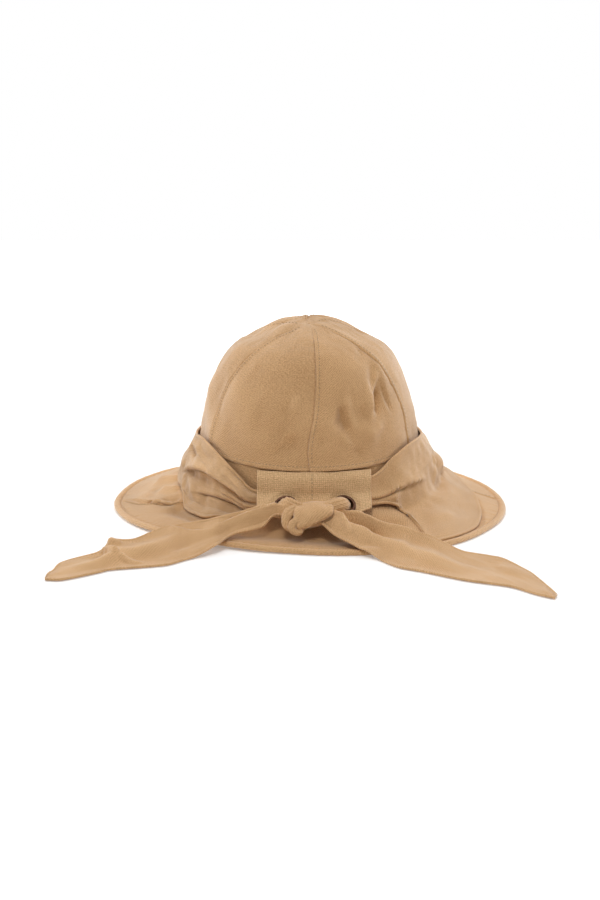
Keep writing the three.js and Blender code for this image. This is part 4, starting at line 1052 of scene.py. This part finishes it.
def tail_piece(name, rows, creases, seed):
    """A tie end: a doubled strip whose sections rest on what is under them."""
    keys = TAIL_COLUMNS.split()
    values = np.array([list(row.values()) for row in rows])
    numbered = [dict(row, index=i) for i, row in enumerate(rows)]
    middle = (values[:, 0:3] + values[:, 3:6]) / 2
    length = np.linalg.norm(np.diff(middle, axis=0), axis=1).sum()
    at = close_rows(length, 1.3) / length * (len(rows) - 1)
    read = {key: smooth(numbered, "index", key)(at)[:, None] for key in keys}
    width = np.hypot(read["near_x"] - read["far_x"], read["near_y"] - read["far_y"])
    share = close_shares((0, 0.004, 0.012, 0.025), 0.045, 48)[None, :]
    x = read["near_x"] + (read["far_x"] - read["near_x"]) * share
    y = read["near_y"] + (read["far_y"] - read["near_y"]) * share
    z = read["near_z"] + (read["far_z"] - read["near_z"]) * share ** TAIL.sag
    ridge = read["ridge"] * hump(share - read["ridge_at"], read["ridge_width"])
    dip = read["dip"] * hump(share - read["dip_at"], read["dip_width"])
    along = at[:, None] / (len(rows) - 1) * length
    soft = rumpled(along, share * width, "tail", seed)
    folds = relief(creases, along, share, CREASE_SCALE.tail)
    z = z + ridge - dip + folds + soft * np.sin(np.pi * share) ** 0.5
    ground = ground_height(x, y)
    lowest = ground + TAIL.cloth / 2 + np.where(ground > 0, TAIL.clear, 0)
    over = z - lowest
    grid = np.stack([x, y, lowest + (over + np.sqrt(over**2 + TAIL.rest)) / 2], -1)
    edge = np.minimum(share, 1 - share) * width
    edge = np.minimum(edge, (at[-1] - at)[:, None] / (len(rows) - 1) * length)
    sign = 1 if normals(grid)[..., 2].mean() > 0 else -1
    grid = displaced(grid, sign * hem_profile(edge))
    # Its ridge, dip and creases also tint the cloth: painted shade in the dips and painted highlight
    # on the ridges; its hems are lighter.
    painted_light_and_tone = (ridge - dip + folds) * 0.2 + TAIL.wear * (edge < HEM.ends[0])
    piece = sheet_piece(
        f"tie_end_{name}_cloth", grid, TAIL.cloth, "scarf_linen", sign=sign,
        painted_light_and_tone=np.clip(painted_light_and_tone, -1, 1),
    )
    vertices = piece.data.vertices
    places = np.zeros(len(vertices) * 3)
    vertices.foreach_get("co", places)
    places[2::3] = np.maximum(places[2::3], TAIL.floor)
    vertices.foreach_set("co", places)
    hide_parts(f"tie_end_{name}")


# ---- tab, eyelets and knot ----


def eyelet_frame(x):
    """Centre of an eyelet, and the directions beside, across and out of its face."""
    turn = np.arcsin(x / EYELET.radius)
    tilt = np.radians(EYELET.tilt)
    centre = np.array([x, -EYELET.radius * np.cos(turn), EYELET.height])
    out = np.array([np.cos(tilt) * np.sin(turn), -np.cos(tilt) * np.cos(turn), np.sin(tilt)])
    beside = np.array([np.cos(turn), np.sin(turn), 0])
    return centre, beside, np.cross(out, beside), out


def eyelet_piece(name, x):
    """A metal ring, turned from its section."""
    centre, beside, over, out = eyelet_frame(x)
    angle = np.linspace(0, 2 * np.pi, EYELET.sides, endpoint=False)[:, None]
    height = column(EYELET_SECTION, "height")[None] + 0 * angle
    radius = column(EYELET_SECTION, "radius")[None]
    uneven = radius * (1 + 0.006 * np.sin(2 * angle + x))
    grid = centre + (uneven * np.cos(angle))[..., None] * beside
    grid = grid + (uneven * np.sin(angle))[..., None] * over + height[..., None] * out
    points = grid.reshape(-1, 3)
    faces = turned_out(points, grid_faces(*height.shape, ring=True, tube=True))
    uv = np.stack([angle * radius, height], -1).reshape(-1, 2)
    plain = np.zeros(len(points))
    piece = make_piece(f"eyelet_{name}_ring", points, faces, uv, "dark_metal", plain)
    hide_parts(f"eyelet_{name}")


def tab_piece():
    """The stitched tab over the crown's lower edge, with its two holes, and its row of stitches."""
    section = spline([list(row.values()) for row in TAB_SECTION])
    width, length = TAB.right - TAB.left, section[1][-1]
    x = (TAB.left + close_rows(width, 0.9))[:, None]
    down = close_rows(length, 0.8)
    middle = (TAB.left + TAB.right) / 2
    shorter = TAB.corner_lift * step(np.abs(x - middle), width / 2 - TAB.corner, width / 2)
    place = on_curve(section, down[None] / length * (1 - shorter / length))
    bulge = TAB.bulge * step(x, *TAB.bulge_over)
    radius = place[..., 0] + bulge * np.sin(np.pi * down / down[-1])[None]
    grid = np.stack(np.broadcast_arrays(x, -np.sqrt(radius**2 - x**2), place[..., 1]), -1)
    seam = np.abs(x - TAB.seam_x - TAB.seam_lean * down[None])
    height = -0.5 * hump(seam, 0.6) + 0.3 * hump(seam, 2.5)
    edge = np.minimum(np.minimum(x - TAB.left, TAB.right - x), down[-1] - down[None])
    height = height + hem_profile(edge) * 0.7
    wave = unevenness(x, down[None], *TAB.wave, 51)
    height = height + wave * step(edge, 0, 6)
    for centre in EYELET_X.values():
        away = np.linalg.norm(grid - eyelet_frame(centre)[0], axis=-1)
        height = height - 0.5 * hump(away - 10.5, 1.6) + 0.35 * hump(away - 13.5, 2.2)
    grid = displaced(grid, height)
    piece = sheet_piece("back_tab_cloth", grid, TAB.wall, "canvas", face=0)
    for centre in EYELET_X.values():
        cut_hole(piece, *eyelet_frame(centre))
    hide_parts("back_tab")
    seam_at = nearest(x[:, 0], TAB.seam_x)
    return [(grid[seam_at, 4:-4], normals(grid)[seam_at, 4:-4])]


def cut_hole(piece, centre, beside, over, out):
    """Cuts an eyelet's round hole through the cloth."""
    sides = EYELET.hole_sides
    angle = np.linspace(0, 2 * np.pi, sides, endpoint=False)[:, None]
    ring = centre + EYELET.hole * (np.cos(angle) * beside + np.sin(angle) * over)
    reach = EYELET.hole_reach * out
    points = np.vstack([ring - reach, ring + reach]) * MM + CROWN_AXIS
    wall = [[k, (k + 1) % sides, (k + 1) % sides + sides, k + sides] for k in range(sides)]
    ends = [list(range(sides))[::-1], list(range(sides, 2 * sides))]
    mesh = bpy.data.meshes.new("hole")
    mesh.from_pydata(points.tolist(), [], wall + ends)
    cutter = link("hole", mesh)
    fix_normals(cutter)
    modifier = piece.modifiers.new("hole", "BOOLEAN")
    modifier.operation = "DIFFERENCE"
    modifier.solver = "EXACT"
    modifier.object = cutter
    graph = bpy.context.evaluated_depsgraph_get()
    result = bpy.data.meshes.new_from_object(piece.evaluated_get(graph))
    piece.modifiers.clear()
    piece.data = result
    bpy.data.objects.remove(cutter)


def knot_wrap_piece():
    """The broad turn of cloth across the knot, tucked in at both its sides."""
    curve = spline([list(row.values()) for row in KNOT_WRAP])
    dense = on_curve(curve, close_rows(curve[1][-1], 0.9) / curve[1][-1])
    left, right = dense[:, :3], dense[:, 3:]
    share = close_shares((0, 0.006, 0.018, 0.035), 0.06, 40)[:, None]
    grid = left[None] + (right - left)[None] * share[..., None]
    sign = -1 if normals(grid)[:, 30, 1].mean() > 0 else 1
    tucked = KNOT_TURN.tuck * (1 - step(share, 0, 0.08)) + KNOT_TURN.tuck * step(share, 0.92, 1)
    height = KNOT_TURN.bulge * np.sin(np.pi * share) ** 0.7 - tucked
    inside = step(share, 0, 0.2) * step(1 - share, 0, 0.2)
    wave = unevenness(distances(grid, 1), share * KNOT_TURN.width, *KNOT_TURN.wave, 61)
    grid = displaced(grid, sign * (height + wave * inside))
    piece = sheet_piece("knot_wrap_cloth", grid, KNOT_TURN.cloth, "scarf_linen", sign=sign)
    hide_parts("knot")


def knot_pieces():
    """The knot: its broad turn, what is under it, its two loops and the strands into it."""
    knot_wrap_piece()
    rope_piece("knot_core_cloth", KNOT_CORE, 0.3, 1)
    rope_piece("knot_loop_outer_cloth", KNOT_LOOP_OUTER, 0.35, 2)
    rope_piece("knot_loop_inner_cloth", KNOT_LOOP_INNER, 0.25, 3)
    rope_piece("strand_left_cloth", STRAND_LEFT, 0.6, 4)
    rope_piece("strand_right_cloth", STRAND_RIGHT, 0.6, 5)


# ---- materials ----


def node(tree, kind, inputs=(), **settings):
    """A shader node with settings, and with inputs that are values or other nodes' outputs."""
    made = tree.nodes.new(kind)
    for name, value in settings.items():
        setattr(made, name, value)
    for name, value in dict(inputs).items():
        if isinstance(value, bpy.types.NodeSocket):
            tree.links.new(value, made.inputs[name])
        else:
            made.inputs[name].default_value = value
    return made


def maths(tree, operation, *values, clamp=False):
    """The result of a sum, a product or another operation on values or outputs."""
    made = node(tree, "ShaderNodeMath", enumerate(values), operation=operation, use_clamp=clamp)
    return made.outputs[0]


def scaled(tree, value, factor):
    return maths(tree, "MULTIPLY", value, factor)


def total(tree, *values):
    """The sum of all values, added in their order."""
    value = values[0]
    for more in values[1:]:
        value = maths(tree, "ADD", value, more)
    return value


def tinted(tree, shader, factor, dark, light):
    """Gives a shader a colour between two; sockets 6 and 7 are the node's two colours."""
    colours = {"Factor": factor, 6: (*dark, 1), 7: (*light, 1)}
    tint = node(tree, "ShaderNodeMix", colours, data_type="RGBA")
    tree.links.new(tint.outputs[2], shader.inputs["Base Color"])


def raised_by(tree, shader, height, strength, distance):
    """Gives a shader a surface that is raised by a height."""
    inputs = {"Height": height, "Strength": strength, "Distance": distance}
    tree.links.new(node(tree, "ShaderNodeBump", inputs).outputs[0], shader.inputs["Normal"])


def speckle(tree, scale, detail):
    """Noise that is alike in all directions of an object."""
    place = node(tree, "ShaderNodeTexCoord").outputs["Object"]
    inputs = {"Vector": place, "Scale": scale, "Detail": detail}
    return node(tree, "ShaderNodeTexNoise", inputs).outputs["Fac"]


def surface(name, colour, roughness, **values):
    material = bpy.data.materials.new(name)
    material.use_nodes = True
    shader = material.node_tree.nodes["Principled BSDF"]
    shader.inputs["Base Color"].default_value = (*colour, 1)
    shader.inputs["Roughness"].default_value = roughness
    for key, value in values.items():
        shader.inputs[key.replace("_", " ").title()].default_value = value
    return material, material.node_tree, shader


def streaks(tree, place, along, across, detail=2.0):
    """Noise stretched along one direction of the cloth, as uneven threads are."""
    scales = {"Vector": place, "Scale": (along, across, 1)}
    stretched = node(tree, "ShaderNodeMapping", scales).outputs[0]
    inputs = {"Vector": stretched, "Scale": 1.0, "Detail": detail, "Roughness": 0.55}
    return node(tree, "ShaderNodeTexNoise", inputs).outputs["Fac"]


TWILL = Sizes(spacing=2.1, sway=26, slub_sway=2.2, cross=0.4, height=0.36)
# Scales of the cloth's noises: along a thread, across it, and the same both ways.
ALONG_THREAD, ACROSS_THREAD, MOTTLE, GRAIN = 45.0, 1.5e3, 38.0, 900.0
# The second share scales the attribute with painted shade in creases, painted highlight on ridges,
# painted sheen on the brim's sides, and lighter hems.
MOTTLE_SHARE, PAINTED_LIGHT_SHARE = 0.35, 0.3
DARKER, LIGHTER = (0.76, 0.70, 0.62), (1.22, 1.28, 1.38)


def plain_weave(tree, waves):
    """Height of a plain weave, from the waves of its two threads."""
    return maths(tree, "MINIMUM", *(maths(tree, "ABSOLUTE", wave) for wave in waves))


def twill_weave(tree, waves, split, mottle, slub):
    """Height of a twill, whose slanting ribs sway a little."""
    ribs = total(tree, split.outputs["X"], split.outputs["Y"])
    ribs = scaled(tree, ribs, 2 * np.pi / (TWILL.spacing * MM))
    sway = total(tree, scaled(tree, mottle, TWILL.sway), scaled(tree, slub, TWILL.slub_sway))
    ribs = maths(tree, "SINE", total(tree, ribs, sway))
    cross = scaled(tree, scaled(tree, *waves), TWILL.cross)
    return maths(tree, "MULTIPLY_ADD", total(tree, cross, ribs), TWILL.height, 0.5)


def cloth_material(name, colour, pitch, square, contrast, bump, slub, grit):
    """Woven cloth: threads at a pitch in millimetres, with slubs, mottled colour and soft sheen."""
    material, tree, shader = surface(name, colour, 0.92, sheen_weight=0.7, sheen_roughness=0.42)
    shader.inputs["Sheen Tint"].default_value = (1.0, 0.93, 0.84, 1)
    shader.inputs["Specular IOR Level"].default_value = 0.25
    place = node(tree, "ShaderNodeUVMap", uv_map=CLOTH_MAP).outputs[0]
    warp_slub = streaks(tree, place, ACROSS_THREAD, ALONG_THREAD)
    weft_slub = streaks(tree, place, ALONG_THREAD, ACROSS_THREAD)
    mottle = streaks(tree, place, MOTTLE, MOTTLE, 3.0)
    grain = streaks(tree, place, GRAIN, GRAIN, 1.0)
    split = node(tree, "ShaderNodeSeparateXYZ", {"Vector": place})
    waves = []
    for axis, noise in (("X", warp_slub), ("Y", weft_slub)):
        turn = scaled(tree, split.outputs[axis], np.pi / (pitch * MM))
        waves.append(maths(tree, "SINE", total(tree, turn, scaled(tree, noise, 0.8))))
    if square:
        weave = plain_weave(tree, waves)
    else:
        weave = twill_weave(tree, waves, split, mottle, warp_slub)
    threads = total(tree, warp_slub, weft_slub)
    # The attribute lightens and darkens the cloth: painted shade in creases, painted highlight on
    # ridges, a painted sheen on the brim's sides, and lighter hems.
    painted_light_and_tone = node(tree, "ShaderNodeAttribute", attribute_name=PAINTED_LIGHT_ATTRIBUTE).outputs["Fac"]
    parts = []
    for value, middle, share in (
        (threads, 1.0, slub),
        (mottle, 0.5, MOTTLE_SHARE),
        (grain, 0.5, grit),
        (weave, 0.5, contrast),
    ):
        parts.append(scaled(tree, maths(tree, "SUBTRACT", value, middle), share))
    shade = total(tree, *parts, scaled(tree, painted_light_and_tone, PAINTED_LIGHT_SHARE))
    shade = maths(tree, "ADD", shade, 0.5, clamp=True)
    dark = tuple(c * f for c, f in zip(colour, DARKER))
    light = tuple(min(c * f, 1) for c, f in zip(colour, LIGHTER))
    tinted(tree, shader, shade, dark, light)
    height = total(tree, scaled(tree, weave, 0.6), scaled(tree, threads, 0.5))
    raised_by(tree, shader, height, bump, 0.00035)
    rough = total(tree, scaled(tree, mottle, 0.12), 0.84)
    tree.links.new(rough, shader.inputs["Roughness"])
    return material


def thread_material():
    material, tree, shader = surface("thread", (0.33, 0.19, 0.09), 0.7, sheen_weight=0.2)
    twist = speckle(tree, 1800.0, 2.0)
    tinted(tree, shader, twist, (0.24, 0.135, 0.06), (0.42, 0.26, 0.13))
    return material


def metal_material():
    material, tree, shader = surface("dark_metal", (0.07, 0.03, 0.02), 0.38, metallic=0.85)
    spots = speckle(tree, 260.0, 4.0)
    tinted(tree, shader, spots, (0.05, 0.022, 0.012), (0.13, 0.06, 0.035))
    rough = maths(tree, "MULTIPLY_ADD", spots, 0.3, 0.25)
    tree.links.new(rough, shader.inputs["Roughness"])
    raised_by(tree, shader, spots, 0.15, 0.0002)
    return material


CLOTHS = table(
    "name colour pitch square contrast bump slub grit",
    ("linen", (0.595, 0.350, 0.163), 0.9, False, 0.75, 0.9, 0.3, 2.0),
    ("scarf_linen", (0.615, 0.368, 0.176), 0.9, False, 0.5, 0.8, 0.35, 1.2),
    ("canvas", (0.69, 0.44, 0.222), 1.5, True, 0.75, 0.8, 0.5, 2.0),
)
MATERIALS = {cloth["name"]: cloth_material(**cloth) for cloth in CLOTHS}
MATERIALS.update(thread=thread_material(), dark_metal=metal_material())


# ---- the hat ----

seam_rows, edge_rows = [], []
for number, (panel_name, panel_start) in enumerate(PANELS.items()):
    seam_row, edge_row = crown_panel(panel_name, panel_start, number)
    seam_rows.append(seam_row)
    edge_rows.append(edge_row)
stitches("crown_seam_stitches", seam_rows)
stitches("crown_edge_stitches", edge_rows)
band_piece()
back_hem, back_seam = brim_half("back", -90)
front_hem, front_seam = brim_half("front", 90)
stitches("brim_hem_stitches", [back_hem, front_hem])
stitches("brim_seam_stitches", [back_seam, front_seam])
scarf_piece()
stitches("tab_stitches", tab_piece())
for eyelet_name, eyelet_x in EYELET_X.items():
    eyelet_piece(eyelet_name, eyelet_x)
knot_pieces()
tail_piece("left", LEFT_TAIL, LEFT_TAIL_CREASES, 71)
tail_piece("right", RIGHT_TAIL, RIGHT_TAIL_CREASES, 81)


# ---- floor, light and camera ----

# In metres, apart from the camera, which is in millimetres from the crown's axis.
FLOOR = 6.0
HAT_MIDDLE = (0, 0, 0.08)
LIGHTS = table(
    "name x y z size power",
    ("top_light", -0.1, 0.3, 1.9, 0.9, 8),
    ("left_light", -1.5, 0.9, 0.7, 0.9, 10),
    ("right_light", 1.5, 0.9, 0.7, 0.9, 9),
    ("front_light", -0.15, -1.1, 1.9, 0.5, 15.5),
)
CAMERA = Sizes(behind=1025, side=-7.5, height=257, look_down=11.6, film=36, lens=50)


def floor():
    """White paper under the hat, which glows more and more beyond it."""
    mesh = bpy.data.meshes.new("floor")
    corners = [(-FLOOR, -FLOOR, 0), (FLOOR, -FLOOR, 0), (FLOOR, FLOOR, 0), (-FLOOR, FLOOR, 0)]
    mesh.from_pydata(corners, [], [(0, 1, 2, 3)])
    made = link("floor", mesh)
    paper, tree, shader = surface("paper", (0.84, 0.84, 0.84), 1.0)
    shader.inputs["Emission Color"].default_value = (1, 1, 1, 1)
    place = node(tree, "ShaderNodeTexCoord").outputs["Object"]
    split = node(tree, "ShaderNodeSeparateXYZ", {"Vector": place})
    inputs = {0: split.outputs["Y"], 1: 0.5, 2: 1.6, 3: 0.2, 4: 0.95}
    glow = node(tree, "ShaderNodeMapRange", inputs).outputs[0]
    tree.links.new(glow, shader.inputs["Emission Strength"])
    mesh.materials.append(paper)


def area_light(light):
    """A square light that is aimed at the hat's middle."""
    lamp = bpy.data.lights.new(light["name"], "AREA")
    lamp.shape = "SQUARE"
    lamp.size = light["size"]
    lamp.energy = light["power"]
    place = Vector((light["x"], light["y"], light["z"]))
    made = link(light["name"], lamp)
    made.location = place
    made.rotation_euler = (Vector(HAT_MIDDLE) - place).to_track_quat("-Z", "Y").to_euler()


def studio_light():
    """Even white light, brighter above and beyond the hat than on the camera's side of it."""
    world = bpy.data.worlds.new("studio")
    world.use_nodes = True
    tree = world.node_tree
    direction = node(tree, "ShaderNodeTexCoord").outputs["Generated"]
    split = node(tree, "ShaderNodeSeparateXYZ", {"Vector": direction})
    inputs = {0: split.outputs["Y"], 1: -0.4, 2: 0.45, 3: 0.13, 4: 1.0}
    beyond = node(tree, "ShaderNodeMapRange", inputs, interpolation_type="SMOOTHSTEP").outputs[0]
    tree.links.new(beyond, tree.nodes["Background"].inputs["Strength"])
    tree.nodes["Background"].inputs["Color"].default_value = (1, 1, 1, 1)
    bpy.context.scene.world = world


floor()
studio_light()
for row in LIGHTS:
    area_light(row)
bpy.context.scene.view_settings.view_transform = "Standard"

lens = bpy.data.cameras.new("camera")
lens.sensor_fit = "VERTICAL"
lens.sensor_height = CAMERA.film
lens.lens = CAMERA.lens
camera = link("camera", lens)
camera.location = np.array([CAMERA.side, -CAMERA.behind, CAMERA.height]) * MM + CROWN_AXIS
camera.rotation_euler = (np.radians(90 - CAMERA.look_down), 0, 0)
bpy.context.scene.camera = camera
